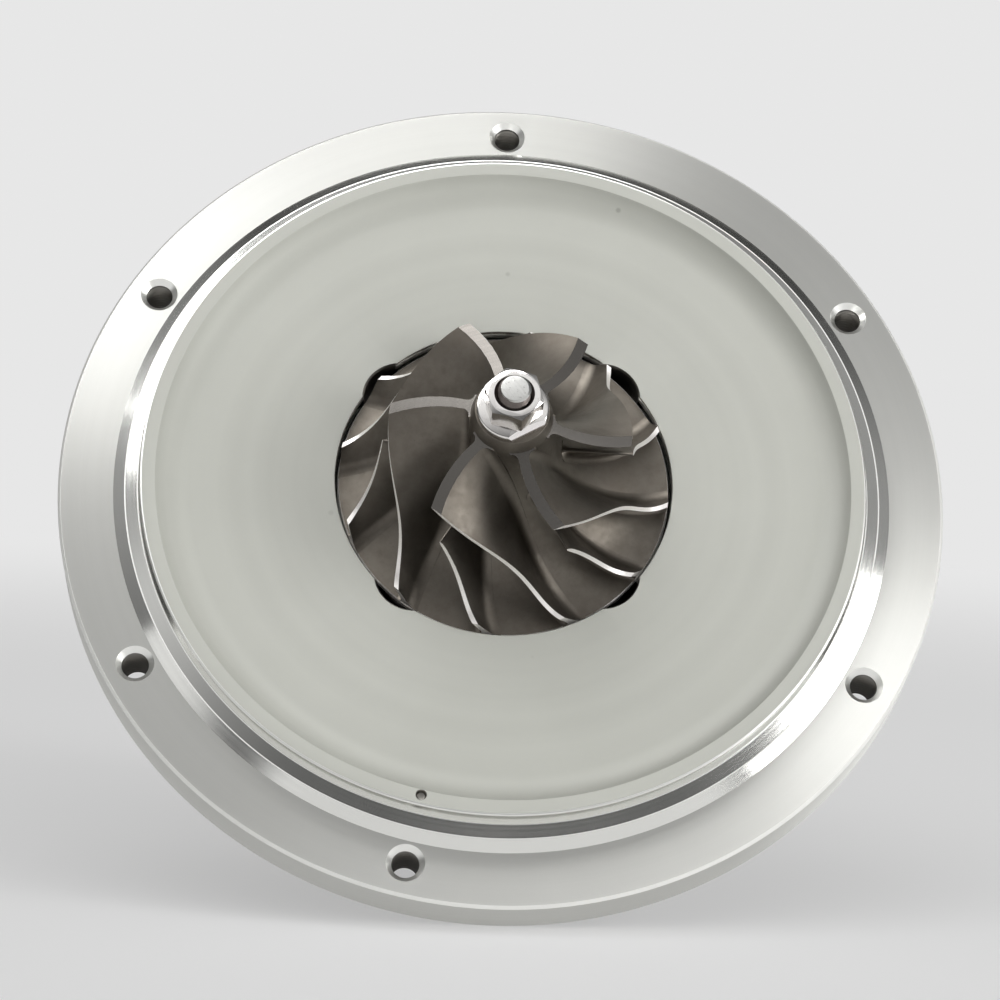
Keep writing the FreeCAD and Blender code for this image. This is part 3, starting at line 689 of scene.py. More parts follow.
def softened(corners: Sequence[tuple[float, ...]], steps: int = 4) -> Profile:
    """Round the corners of a closed half section.

    Args:
        corners: (radius, height) or (radius, height, rounding) points in order.
        steps: runs in each rounding.

    Returns:
        The points of the rounded section.
    """
    points: Profile = []
    for index, corner in enumerate(corners):
        here = np.array(corner[:2], float)
        rounding = corner[2] if len(corner) > 2 else 0.0
        before = np.array(corners[index - 1][:2], float) - here
        after = np.array(corners[(index + 1) % len(corners)][:2], float) - here
        if rounding <= 0.0:
            points.append((float(here[0]), float(here[1])))
            continue
        reach_before, reach_after = np.linalg.norm(before), np.linalg.norm(after)
        before, after = before / reach_before, after / reach_after
        half = math.acos(float(np.clip(before @ after, -1.0, 1.0))) / 2.0
        run = min(rounding / math.tan(half), reach_before * 0.49, reach_after * 0.49)
        first, second = here + before * run, here + after * run
        for step in range(steps + 1):
            share = step / steps
            spot = (1 - share) ** 2 * first + 2 * share * (1 - share) * here + share**2 * second
            points.append((float(spot[0]), float(spot[1])))
    return points


def turned(profile: Profile, segments: int, marker: Callable[[float, float], int] | None = None,
           centre: tuple[float, float] = (0.0, 0.0)) -> Shell:
    """Turn a closed half section about a line along Z.

    Args:
        profile: the section's (radius, height) points.
        segments: faces round the axis.
        marker: gives the finish mark at a radius and height.
        centre: where the axis stands.

    Returns:
        The closed shell.
    """
    angles = np.linspace(0.0, 2.0 * math.pi, segments, endpoint=False)
    shell = Shell()
    closed = profile + profile[:1]
    for (r0, z0), (r1, z1) in zip(closed[:-1], closed[1:]):
        if max(r0, r1) < 1e-9:
            continue
        rows = np.array([[(centre[0] + r * math.cos(a), centre[1] + r * math.sin(a), z) for a in angles]
                         for r, z in ((r0, z0), (r1, z1))])
        mark = marker((r0 + r1) / 2.0, (z0 + z1) / 2.0) if marker else 0
        shell.grid(rows, wrap=True, mark=mark)
    return shell


def carve(target: bpy.types.Object, cutters: Sequence[bpy.types.Mesh],
          operation: str = "DIFFERENCE") -> None:
    """Cut a piece with closed meshes, or join them to it, and leave a plain mesh.

    Args:
        target: the piece.
        cutters: closed meshes that don't touch one another.
        operation: DIFFERENCE or UNION.
    """
    work = bmesh.new()
    for cutter in cutters:
        work.from_mesh(cutter)
    tool_mesh = bpy.data.meshes.new("tool")
    work.to_mesh(tool_mesh)
    work.free()
    for material in cutters[0].materials:
        tool_mesh.materials.append(material)
    tool = link("tool", tool_mesh)
    modifier = target.modifiers.new("carve", "BOOLEAN")
    modifier.operation = operation
    modifier.solver = "EXACT"
    modifier.material_mode = "TRANSFER"
    modifier.object = tool
    settle(target)
    bpy.data.objects.remove(tool)
    for cutter in cutters:
        bpy.data.meshes.remove(cutter)


def settle(target: bpy.types.Object) -> None:
    """Turn a piece and its modifiers into a plain mesh.

    Args:
        target: the piece.
    """
    graph = bpy.context.evaluated_depsgraph_get()
    mesh = bpy.data.meshes.new_from_object(target.evaluated_get(graph), preserve_all_data_layers=True,
                                           depsgraph=graph)
    target.modifiers.clear()
    target.data = mesh
    smooth(mesh)


def issue(piece: bpy.types.Object, body: Body, nodes: Sequence[str]) -> None:
    """Let a finished piece ride on its body in place of its CAD nodes, and report it.

    Args:
        piece: the piece, with a plain mesh.
        body: the body that it rides on.
        nodes: the CAD nodes that it takes the place of.
    """
    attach(piece, body.value)
    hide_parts(*nodes)
    LOG.info("%s: %d faces on %s", piece.name, len(piece.data.polygons), body.value)


class RoundArray:
    """A Geometry Nodes tree that repeats a mesh about the shaft axis."""

    def __init__(self, name: str, cast: Finish, edge: Finish, front: Finish) -> None:
        """Args:
            name: the tree's name.
            cast: the finish of the repeated mesh.
            edge: the finish of its faces with the attribute "edge".
            front: the finish of its faces with the attribute "front".
        """
        self.tree = bpy.data.node_groups.new(name, "GeometryNodeTree")
        self.ids: dict[str, str] = {}
        sockets = (("Geometry", "NodeSocketGeometry", "INPUT"), ("Count", "NodeSocketInt", "INPUT"),
                   ("First angle", "NodeSocketFloat", "INPUT"),
                   ("Geometry", "NodeSocketGeometry", "OUTPUT"))
        for label, kind, way in sockets:
            socket = self.tree.interface.new_socket(name=label, in_out=way, socket_type=kind)
            if way == "INPUT":
                self.ids[label] = socket.identifier
        given = self.place("NodeGroupInput")
        points = self.place("GeometryNodePoints", {"Count": given.outputs["Count"]})
        index = self.place("GeometryNodeInputIndex")
        share = self.math("DIVIDE", index.outputs[0], given.outputs["Count"])
        angle = self.math("MULTIPLY_ADD", share.outputs[0], 2.0 * math.pi, given.outputs["First angle"])
        euler = self.place("ShaderNodeCombineXYZ", {"Z": angle.outputs[0]})
        turn = self.place("FunctionNodeEulerToRotation", {0: euler.outputs[0]})
        copies = self.place("GeometryNodeInstanceOnPoints",
                            {"Points": points.outputs[0], "Instance": given.outputs["Geometry"],
                             "Rotation": turn.outputs[0]})
        real = self.place("GeometryNodeRealizeInstances", {0: copies.outputs[0]})
        dressed = self.place("GeometryNodeSetMaterial",
                             {"Geometry": real.outputs[0], "Material": cast.material()})
        for label, finish in (("edge", edge), ("front", front)):
            flag = self.place("GeometryNodeInputNamedAttribute", {"Name": label},
                              {"data_type": "BOOLEAN"})
            dressed = self.place("GeometryNodeSetMaterial",
                                 {"Geometry": dressed.outputs[0], "Selection": flag.outputs[0],
                                  "Material": finish.material()})
        self.place("NodeGroupOutput", {0: dressed.outputs[0]})

    def place(self, kind: str, inputs: dict | None = None, settings: dict | None = None) -> bpy.types.Node:
        """Place a node.

        Args:
            kind: the node's type.
            inputs: values or links by socket.
            settings: the node's settings.

        Returns:
            The node.
        """
        node = self.tree.nodes.new(kind)
        for key, value in (settings or {}).items():
            setattr(node, key, value)
        for key, value in (inputs or {}).items():
            if isinstance(value, bpy.types.NodeSocket):
                self.tree.links.new(value, node.inputs[key])
            else:
                node.inputs[key].default_value = value
        return node

    def math(self, operation: str, *values: "bpy.types.NodeSocket | float") -> bpy.types.Node:
        """Place a Math node."""
        return self.place("ShaderNodeMath", dict(enumerate(values)), {"operation": operation})

    def spread(self, name: str, mesh: bpy.types.Mesh, count: int, first: float) -> bpy.types.Object:
        """Repeat a mesh.

        Args:
            name: the piece's name.
            mesh: what is repeated.
            count: how often.
            first: the first copy's angle in degrees.

        Returns:
            The piece, with a plain mesh.
        """
        piece = link(name, mesh)
        modifier = piece.modifiers.new("round", "NODES")
        modifier.node_group = self.tree
        modifier[self.ids["Count"]] = count
        modifier[self.ids["First angle"]] = math.radians(first)
        settle(piece)
        return piece


def joined(name: str, things: Sequence[bpy.types.Object]) -> bpy.types.Object:
    """Join several objects into one piece, each shell kept closed.

    Args:
        name: the piece's name.
        things: the objects, which are used up.

    Returns:
        The piece.
    """
    materials: list[bpy.types.Material] = []
    work = bmesh.new()
    for thing in things:
        lookup = []
        for material in thing.data.materials:
            if material not in materials:
                materials.append(material)
            lookup.append(materials.index(material))
        known = len(work.faces)
        work.from_mesh(thing.data)
        work.faces.ensure_lookup_table()
        for face in work.faces[known:]:
            face.material_index = lookup[face.material_index] if lookup else 0
    mesh = bpy.data.meshes.new(name)
    work.to_mesh(mesh)
    work.free()
    for material in materials:
        mesh.materials.append(material)
    for thing in things:
        bpy.data.objects.remove(thing)
    smooth(mesh)
    return link(name, mesh)


@dataclass
class PhotoCamera:
    """The camera where the photograph was taken, found from the flange's circles."""

    lens: float = 112.528
    tilt: float = -0.45187
    pan: float = 0.0527
    shift_x: float = 0.538
    shift_y: float = 2.346
    distance: float = 494.08
    turn: float = 0.58
    sensor: float = 36.0
    clip: tuple[float, float] = (0.01, 50.0)

    def build(self) -> None:
        """Place it and make it the scene's camera."""
        data = bpy.data.cameras.new("photo camera")
        data.lens = self.lens
        data.sensor_width = self.sensor
        data.clip_start, data.clip_end = self.clip
        camera = bpy.data.objects.new("photo_camera", data)
        bpy.context.scene.collection.objects.link(camera)
        look = Matrix.Rotation(self.tilt, 3, "X") @ Matrix.Rotation(self.pan, 3, "Y")
        back = look.transposed()
        spot = back @ Vector((-self.shift_x, -self.shift_y, self.distance)) * MM
        placed = Matrix.Translation(spot) @ back.to_4x4()
        camera.matrix_world = Matrix.Rotation(math.radians(self.turn), 4, "Z") @ placed
        bpy.context.scene.camera = camera


@dataclass
class Softbox:
    """One large lamp aimed at the cartridge."""

    name: str
    azimuth: float
    elevation: float
    reach: float
    width: float
    height: float
    power: float
    on_satin: bool = True
    on_bright: bool = True

    def build(self) -> None:
        """Hang it; it may light only satin faces, or only show in bright ones."""
        data = bpy.data.lights.new(self.name, "AREA")
        data.shape = "RECTANGLE"
        data.size = self.width
        data.size_y = self.height
        data.energy = self.power
        lamp = bpy.data.objects.new(self.name, data)
        bpy.context.scene.collection.objects.link(lamp)
        around, up = math.radians(self.azimuth), math.radians(self.elevation)
        spot = Vector((math.cos(around) * math.cos(up), math.sin(around) * math.cos(up), math.sin(up)))
        lamp.location = spot * self.reach
        lamp.rotation_euler = spot.to_track_quat("Z", "Y").to_euler()
        lamp.visible_diffuse = self.on_satin
        lamp.visible_glossy = self.on_bright


@dataclass
class Studio:
    """The pale floor, the soft lamps and the sky they stand in."""

    rim_contact: tuple[float, float] = (-70.2, -8.1)
    flange_contact: tuple[float, float] = (-37.2, -66.2)
    floor_half: float = 4.0
    backdrop: Colour = (0.80, 0.80, 0.80)
    paper: Colour = (0.81, 0.81, 0.81)
    shadow_share: float = 0.5
    shadow_reach: tuple[float, float] = (260.0, 700.0)
    sky_top: float = 1.0
    sky_middle: float = 0.34
    sky_low: float = 0.05
    sky_front: float = 0.12
    sky_turn: tuple[float, float] = (-0.38, 0.50)
    low_edge: tuple[float, float] = (0.08, 0.32)
    high_edge: tuple[float, float] = (0.58, 0.72)
    fibre: Colour = (0.7, 0.7, 0.7)
    fibre_share: float = 0.03
    mirrored_floor: Colour = (1.0, 1.0, 1.0)
    floor_colour: Colour = (0.95, 0.95, 0.95)
    boxes: tuple[Softbox, ...] = (
        Softbox("right box", -5.0, 34.0, 1.1, 0.66, 0.42, 5.2),
        Softbox("left back box", 112.0, 32.0, 1.1, 1.25, 0.42, 11.5, on_satin=False),
        Softbox("left back fill", 114.0, 32.0, 1.1, 1.0, 0.42, 1.3, on_bright=False),
        Softbox("front fill", 285.0, 50.0, 1.1, 0.9, 0.6, 10.8, on_bright=False),
        Softbox("left card", 197.0, 35.5, 1.1, 0.55, 0.14, 0.19, on_satin=False),
    )

    def build(self) -> None:
        """Lay the floor, hang the lamps and tint the sky."""
        bpy.context.scene.view_settings.view_transform = "Standard"
        self.lay_floor()
        for box in self.boxes:
            box.build()
        self.tint_sky()

    def lay_floor(self) -> None:
        """Lay the table that the part stands on with its rim and its turbine flange.

        It shows the camera an even pale tone with the object's shadow in it, which fades out far from
        the object. Nothing is seen of it from below.
        """
        front = Vector((0.0, *self.rim_contact)) * MM
        back = Vector((0.0, *self.flange_contact)) * MM
        away = (back - front).normalized() * self.floor_half
        side = Vector((self.floor_half, 0.0, 0.0))
        mesh = bpy.data.meshes.new("floor")
        corners = [front - side - away, front + side - away, front + side + away, front - side + away]
        mesh.from_pydata(corners, [], [(0, 1, 2, 3)])
        sheet = Sheet(bpy.data.materials.new("floor paper"))
        place = sheet.millimetres()
        distance = sheet.node("ShaderNodeVectorMath", {"operation": "LENGTH"}, {0: place}, "Value")
        near = distance.step(self.shadow_reach[1], self.shadow_reach[0])
        grain = sheet.noise(place, 0.02, 3.0)
        plain = sheet.blend(near, self.backdrop, self.paper)
        tone = sheet.blend(grain * self.fibre_share, plain, self.fibre)
        mirrored = sheet.node("ShaderNodeLightPath", output="Is Glossy Ray")
        tone = sheet.blend(mirrored, tone, self.mirrored_floor)
        lit = sheet.node("ShaderNodeBsdfDiffuse", None, {"Color": (*self.floor_colour, 1.0)})
        glow = sheet.node("ShaderNodeEmission", None, {"Color": tone, "Strength": 1.0})
        seen = sheet.seen_rays() * (1.0 - near * self.shadow_share)
        mixed = sheet.node("ShaderNodeMixShader", None, {0: seen, 1: lit, 2: glow})
        under = sheet.node("ShaderNodeNewGeometry", output="Backfacing")
        clear = sheet.node("ShaderNodeBsdfTransparent")
        shown = sheet.node("ShaderNodeMixShader", None, {0: under, 1: mixed, 2: clear})
        sheet.node("ShaderNodeOutputMaterial", None, {"Surface": shown})
        mesh.materials.append(sheet.owner)
        link("floor", mesh)

    def tint_sky(self) -> None:
        """Make a room that is light above the plate, dark low down and in front, and pale to the camera."""
        world = bpy.data.worlds.new("studio sky")
        bpy.context.scene.world = world
        sheet = Sheet(world)
        direction = sheet.node("ShaderNodeTexCoord", output="Generated")
        depth, height = sheet.parts(direction)[1:]
        level = (height.step(*self.low_edge) * (self.sky_middle - self.sky_low) + self.sky_low
                 + height.step(*self.high_edge) * (self.sky_top - self.sky_middle))
        level = level * (depth.step(*self.sky_turn) * (1.0 - self.sky_front) + self.sky_front)
        seen = sheet.node("ShaderNodeLightPath", output="Is Camera Ray")
        shown = seen * self.backdrop[0] + (1.0 - seen) * level
        colour = sheet.node("ShaderNodeCombineColor", None, {0: shown, 1: shown, 2: shown})
        glow = sheet.node("ShaderNodeBackground", None, {"Color": colour, "Strength": 1.0})
        sheet.node("ShaderNodeOutputWorld", None, {"Surface": glow})


@dataclass
class SealPlate:
    """The turned plate with the bolt flange, its raised ring and the screw pockets."""

    radius: float = 70.0
    rim: float = 8.8
    land_edge: float = 61.35
    bevel_edge: float = 59.55
    bevel_rise: float = 1.11
    slope_edge: float = 57.55
    slope_rise: float = 0.84
    step_flat: float = 0.18
    lip_outer: float = 57.0
    lip_height: float = 4.6
    lip_inner: float = 54.6
    face_edge: float = 49.5
    face: float = 1.85
    recess_radius: float = 26.6
    recess_floor: float = -1.75
    hole_radius: float = 2.1
    hole_sink: float = 0.85
    hole_circle: float = 64.75
    hole_angles: tuple[float, ...] = (30.0, 90.0, 150.0, 210.0, 330.0, 257.5)
    pocket_radius: float = 5.9
    pocket_circle: float = 21.8
    pocket_floor: float = -7.05
    pocket_angles: tuple[float, ...] = (44.5, 139.5, 230.5, 314.5)
    spot_angle: float = 257.5
    spot_inset: float = 1.6
    spot_radius: float = 0.75
    spot_depth: float = 0.8
    spot_flare: float = 0.15
    bore: float = 8.0
    seat: float = 13.2
    seat_front: float = -11.0
    neck: float = 17.4
    neck_end: float = -18.0
    groove_floor: float = 16.1
    groove: tuple[float, float] = (-16.92, -15.08)
    back: float = -14.0
    back_radius: float = 33.0
    web: float = -6.2
    web_edge: float = 57.5
    web_slope: float = 3.0
    rim_slope: float = 1.5
    rim_break: float = 0.7
    front_break: float = 0.45
    edge_flare: float = 0.25
    thread_pitch: float = 0.8
    thread_depth: float = 0.35
    segments: int = 320

    def section(self) -> Profile:
        """Draw the half section, with every edge broken as the real plate's are.

        Returns:
            The section, from the bore's front edge round the back to the face.
        """
        step_top = self.bevel_rise + self.slope_rise
        groove_back, groove_front = self.groove
        return softened([
            (self.bore, self.recess_floor, 0.25), (self.bore, self.seat_front, 0.2),
            (self.seat, self.seat_front, 0.3), (self.seat, self.neck_end, 0.25),
            (self.neck, self.neck_end, 0.4), (self.neck, groove_back), (self.groove_floor, groove_back),
            (self.groove_floor, groove_front), (self.neck, groove_front), (self.neck, self.back, 0.2),
            (self.back_radius, self.back, 0.4), (self.back_radius, self.web - self.web_slope, 0.8),
            (self.back_radius + self.web_slope, self.web, 1.5), (self.web_edge, self.web, 0.6),
            (self.web_edge + self.rim_slope, -self.rim, 0.4),
            (self.radius - self.rim_break, -self.rim, 0.25), (self.radius, self.rim_break - self.rim, 0.25),
            (self.radius, -self.front_break, 0.2), (self.radius - self.front_break, 0.0, 0.2),
            (self.land_edge, 0.0, 0.12), (self.bevel_edge, self.bevel_rise, 0.08),
            (self.bevel_edge - self.step_flat, self.bevel_rise, 0.08), (self.slope_edge, step_top, 0.06),
            (self.slope_edge - self.step_flat * 0.8, step_top, 0.06),
            (self.lip_outer, self.lip_height, 0.38), (self.lip_inner, self.lip_height, 0.1), *self.cove(),
            (self.recess_radius, self.face, 0.22), (self.recess_radius, self.recess_floor, 0.5),
        ])

    def cove(self, runs: int = 12) -> Profile:
        """Draw the hollow from the raised ring's inner edge down to the face, as one arc.

        Args:
            runs: straight runs in the arc.

        Returns:
            The arc's points after the edge.
        """
        across, down = self.lip_inner - self.face_edge, self.lip_height - self.face
        bend = (across**2 + down**2) / (2.0 * down)
        end = math.asin(across / bend)
        turns = [end * (1.0 - step / runs) for step in range(1, runs + 1)]
        return [(self.face_edge + bend * math.sin(turn), self.face + bend * (1.0 - math.cos(turn)))
                for turn in turns]

    def zone(self, radius: float, height: float) -> PlateZone:
        """Tell the finish of a ring of the section.

        Args:
            radius: the ring's middle radius.
            height: its middle height.

        Returns:
            The finish.
        """
        if radius > self.radius - 0.5 and height > -0.5:
            return PlateZone.RIM_EDGE
        if height < self.recess_floor + 0.05 and radius < self.radius - 1.0:
            return PlateZone.BACK
        if radius > self.land_edge - 0.05:
            return PlateZone.LAND
        # The lip's outer top edge and the steps' edges take the lighter copy of the metal: painted
        # highlight lines.
        outside = radius > self.lip_outer - 0.35
        if outside and height > self.lip_height - 0.3:
            return PlateZone.EDGE
        steps = ((self.bevel_edge, self.bevel_rise), (self.slope_edge, self.bevel_rise + self.slope_rise))
        if any(abs(height - step) < 0.03 and edge - 0.3 < radius < edge + 0.03 for edge, step in steps):
            return PlateZone.EDGE
        return PlateZone.RING if outside or height < self.face - 0.05 else PlateZone.FACE

    def round_cutter(self, profile: Profile, angle: float, circle: float, bright_above: float,
                     segments: int = 64) -> bpy.types.Mesh:
        """Make a turned cutter that leaves a wall darkened as painted shade and, at its top, an edge
        lightened as painted highlight.

        Args:
            profile: its half section.
            angle: where it stands on its circle, in degrees.
            circle: the circle's radius about the shaft.
            bright_above: the height from which it leaves the edge lightened as painted highlight.
            segments: faces round its axis.

        Returns:
            The cutter.
        """
        def mark(radius: float, height: float) -> int:
            """0 for the wall in painted shade and 1 for the edge in painted highlight."""
            return int(height > bright_above)
        turn = math.radians(angle)
        centre = (circle * math.cos(turn), circle * math.sin(turn))
        return turned(profile, segments, mark, centre).mesh("cutter", [SHADED_HOLE_WALL, EDGE_HIGHLIGHT])

    def cutters(self) -> list[bpy.types.Mesh]:
        """Make the cutters of the tapped holes, the screw pockets and the drill spot.

        Returns:
            The cutters, which don't touch one another.
        """
        wide, sink, over = self.hole_radius, self.hole_sink, 0.5
        below = -self.rim - 0.6
        hole = [(0.0, below), (wide, below), (wide, -sink), (wide + sink, 0.0), (wide + sink + over, over),
                (0.0, over)]
        cuts = [self.round_cutter(self.threaded(hole), angle, self.hole_circle, -sink)
                for angle in self.hole_angles]
        wide, floor, flare, corner, over = self.pocket_radius, self.pocket_floor, self.edge_flare, 0.3, 0.4
        pocket = [(0.0, floor), (wide - corner, floor), (wide, floor + corner), (wide, self.face - flare),
                  (wide + flare, self.face), (wide + flare + over, self.face + over),
                  (0.0, self.face + over)]
        cuts += [self.round_cutter(pocket, angle, self.pocket_circle, self.face, 96)
                 for angle in self.pocket_angles]
        wide, top, flare = self.spot_radius, self.lip_height, self.spot_flare
        spot = [(0.0, top - self.spot_depth), (wide * 0.75, top - self.spot_depth * 0.8), (wide, top - 0.1),
                (wide + flare, top + 0.05), (wide + flare * 2.0, top + over), (0.0, top + over)]
        cuts.append(self.round_cutter(spot, self.spot_angle, self.lip_outer - self.spot_inset, top, 48))
        return cuts

    def threaded(self, hole: Profile) -> Profile:
        """Put rings that stand for its thread into a hole's wall.

        Args:
            hole: the hole's half section, whose wall is its second run.

        Returns:
            The section with the rings.
        """
        turns: Profile = []
        wide, pitch = self.hole_radius, self.thread_pitch
        height = hole[1][1] + 0.2
        while height + pitch < hole[2][1]:
            turns += [(wide, height), (wide + self.thread_depth, height + pitch * 0.45),
                      (wide, height + pitch * 0.9)]
            height += pitch
        return hole[:2] + turns + hole[2:]

    def build(self) -> None:
        """Turn it, bore it and let it ride."""
        shell = turned(self.section(), self.segments, self.zone)
        # The edge finish is a lighter copy of the land's metal, a painted highlight.
        finishes = [LAND, RING_BANDS, PLATE_FACE, PLATE_BACK, EDGE_HIGHLIGHT, EDGE_SOFT]
        plate = link("seal_plate_turned", shell.mesh("seal_plate_turned", finishes))
        carve(plate, self.cutters())
        issue(plate, Body.HOUSING, ["seal_plate"])


@dataclass
class PlateScrews:
    """The four cap screws deep in the plate's pockets."""

    circle: float = SealPlate.pocket_circle
    angles: tuple[float, ...] = SealPlate.pocket_angles
    seat: float = SealPlate.pocket_floor
    head_radius: float = 4.25
    head_height: float = 5.0
    shank_radius: float = 2.5
    length: float = 14.0
    socket_flats: float = 4.0
    socket_depth: float = 2.5
    chamfer: float = 0.4

    def build(self) -> None:
        """Make one screw and stand a copy at each angle."""
        top, end = self.seat + self.head_height, self.seat - self.length
        profile = softened([
            (0.0, end), (self.shank_radius - self.chamfer, end), (self.shank_radius, end + self.chamfer),
            (self.shank_radius, self.seat), (self.head_radius, self.seat, 0.2),
            (self.head_radius, top, 0.45), (0.0, top),
        ])
        screw = link("screw", turned(profile, 72, centre=(self.circle, 0.0)).mesh("screw", [SCREW_STEEL]))
        socket_radius = self.socket_flats / math.sqrt(3.0)
        socket = turned([(0.0, top - self.socket_depth), (socket_radius, top - self.socket_depth),
                         (socket_radius, top + 0.4), (0.0, top + 0.4)], 6, centre=(self.circle, 0.0))
        carve(screw, [socket.mesh("socket", [SCREW_STEEL])])
        mesh = screw.data
        bpy.data.objects.remove(screw)
        array = RoundArray("screw ring", SCREW_STEEL, SCREW_STEEL, SCREW_STEEL)
        copies = [array.spread("screw at " + str(angle), mesh, 1, angle) for angle in self.angles]
        issue(joined("plate_cap_screws", copies), Body.HOUSING, ["seal_plate_screws"])


def unit(vectors: np.ndarray) -> np.ndarray:
    """Vectors of length one."""
    return vectors / np.maximum(np.linalg.norm(vectors, axis=-1, keepdims=True), 1e-12)


def across_shaft(points: np.ndarray) -> np.ndarray:
    """Directions of length one that run round the shaft at points."""
    return unit(np.stack([-points[..., 1], points[..., 0], points[..., 2] * 0.0], axis=-1))


@dataclass
class BladeLine:
    """Where a blade meets the hub or the shroud: a quarter ellipse that also wraps round."""

    eye: tuple[float, float]
    rim: tuple[float, float]
    start: float
    wrap: float

    def section(self, share: np.ndarray) -> tuple[np.ndarray, np.ndarray]:
        """Follow the quarter ellipse.

        Args:
            share: shares of the way from the eye to the rim.

        Returns:
            The radius and the height at each share.
        """
        turn = share * math.pi / 2.0
        radius = self.rim[0] - (self.rim[0] - self.eye[0]) * np.cos(turn)
        height = self.eye[1] + (self.rim[1] - self.eye[1]) * np.sin(turn)
        return radius, height

    def at(self, share: np.ndarray, steady: float, power: float) -> np.ndarray:
        """Find points in space, where the wrap is quick at the eye and steady towards the rim.

        Args:
            share: shares of the way from the eye to the rim.
            steady: how much of the wrap is even all the way.
            power: how soon the rest is over.

        Returns:
            The points.
        """
        radius, height = self.section(share)
        swept = (1 - steady) * (1 - (1 - share) ** power) + steady * share
        angle = np.radians(self.start + self.wrap * swept)
        return np.stack([radius * np.cos(angle), radius * np.sin(angle), height], axis=-1)


@dataclass
class Blade:
    """One blade between its hub line and its shroud line, with a fillet at its foot."""

    hub: BladeLine
    shroud: BladeLine
    steady: float
    power: float
    root: float
    tip: float
    fillet: float
    sink: float
    first: float = 0.0
    chord_steps: int = 44
    nose: float = 1.1
    front_extra: float = 0.0
    bow: float = 0.0
    end_reach: float = 1.8
    extra_reach: float = 4.5
    least_slant: float = 0.38
    nose_share: float = 0.04
    foot_steps: tuple[float, ...] = (0.0, 0.06, 0.16, 0.32, 0.55, 0.8, 1.0)
    rows_above: int = 6

    def sideways(self, middle: np.ndarray, side: np.ndarray,
                 length: np.ndarray) -> tuple[np.ndarray, np.ndarray]:
        """Where the blade's thickness is laid out, so that its edges look turned on a lathe.

        Each row of points keeps to the turned surface it lies in, so the foot follows the hub and the
        top edge the shroud. At the front and the back the edge lies straight across the shaft.

        Args:
            middle: the points halfway through the blade, in rows from hub to shroud.
            side: the blade's own normal at those points.
            length: how far each column is from the front edge.

        Returns:
            The directions, and how much more thickness each one needs because it runs aslant.
        """
        along = unit(np.gradient(middle, axis=1))
        across = across_shaft(middle)
        lying = unit(np.cross(along, np.cross(across, along)))
        across = across * np.sign((across * side).sum(axis=2, keepdims=True))
        lying = lying * np.sign((lying * side).sum(axis=2, keepdims=True))
        from_end = np.minimum(length, length[-1] - length)
        share = np.clip(1.0 - from_end / self.end_reach, 0.0, 1.0)[None, :, None]
        sideways = unit(lying * (1.0 - share) + across * share)
        return sideways, 1.0 / np.maximum((sideways * side).sum(axis=2), self.least_slant)

    def half_thickness(self, rise: np.ndarray, span: np.ndarray, length: np.ndarray,
                       widen: np.ndarray) -> np.ndarray:
        """Work out how thick the blade is, with the fillet at its foot and its round nose.

        Args:
            rise: shares of the way from hub to shroud, in rows.
            span: how far apart hub and shroud are at each column.
            length: how far each column is from the front edge.
            widen: how much more thickness each point needs because it runs aslant.

        Returns:
            Half the thickness at each point.
        """
        extra = self.front_extra * np.clip(1.0 - length / self.extra_reach, 0.0, 1.0)
        plain = (self.root + (self.tip - self.root) * np.clip(rise, 0, 1) + extra) / 2.0
        inside = np.clip(1.0 - rise * span / self.fillet, 0.0, 1.0)
        flare = self.fillet * (1.0 - np.sqrt(np.clip(1.0 - inside**2, 0.0, 1.0)))
        round_nose = np.ones(len(length))
        if self.nose > 0.0:
            round_nose = np.sqrt(np.clip(1.0 - np.clip(1.0 - length / self.nose, 0, 1) ** 2, 0.0, 1.0))
        return (plain * widen + flare) * np.maximum(round_nose, self.nose_share)

    def build(self, name: str) -> bpy.types.Mesh:
        """Mesh both faces, the shroud edge, the nose and the tail.

        Args:
            name: the mesh's name.

        Returns:
            A closed mesh whose machined faces have the attribute "edge" or "front".
        """
        eased = (1.0 - np.cos(np.linspace(0, math.pi, self.chord_steps))) / 2
        share = self.first + (1.0 - self.first) * eased
        hub, shroud = (line.at(share, self.steady, self.power) for line in (self.hub, self.shroud))
        span = np.linalg.norm(shroud - hub, axis=1)
        foot = [depth / span for depth in (-self.sink, *(self.fillet * step for step in self.foot_steps))]
        parts = np.linspace(0.0, 1.0, self.rows_above + 1)[1:]
        above = [self.fillet / span * (1 - part) + part for part in parts]
        rise = np.stack(foot + above)
        middle = hub + (shroud - hub) * rise[..., None]
        part = np.clip(rise, 0.0, 1.0)
        swing = -self.bow * 4.0 * part * (1.0 - part) * (1.0 - share[None, :]) ** 2
        middle += across_shaft(middle) * swing[..., None]
        side = unit(np.cross(np.gradient(middle, axis=1), np.gradient(middle, axis=0)))
        length = np.concatenate([[0.0], np.cumsum(np.linalg.norm(np.diff(middle[-1], axis=0), axis=1))])
        sideways, widen = self.sideways(middle, side, length)
        reach = sideways * self.half_thickness(rise, span, length, widen)[..., None]
        left, right = middle - reach, middle + reach
        shell = Shell()
        shell.grid(left)
        shell.grid(right)
        shell.grid(np.stack([left[-1], right[-1]]), mark=BladeZone.EDGE)
        shell.grid(np.stack([left[0], right[0]]))
        shell.grid(np.stack([left[:, 0], right[:, 0]]), mark=BladeZone.FRONT)
        shell.grid(np.stack([left[:, -1], right[:, -1]]), mark=BladeZone.EDGE)
        mesh = shell.mesh(name, [WHEEL_CAST, BLADE_EDGE, BLADE_FRONT])
        for zone in (BladeZone.EDGE, BladeZone.FRONT):
            flag = mesh.attributes.new(zone.name.lower(), "BOOLEAN", "FACE")
            flag.data.foreach_set("value", [p.material_index == zone for p in mesh.polygons])
        return mesh


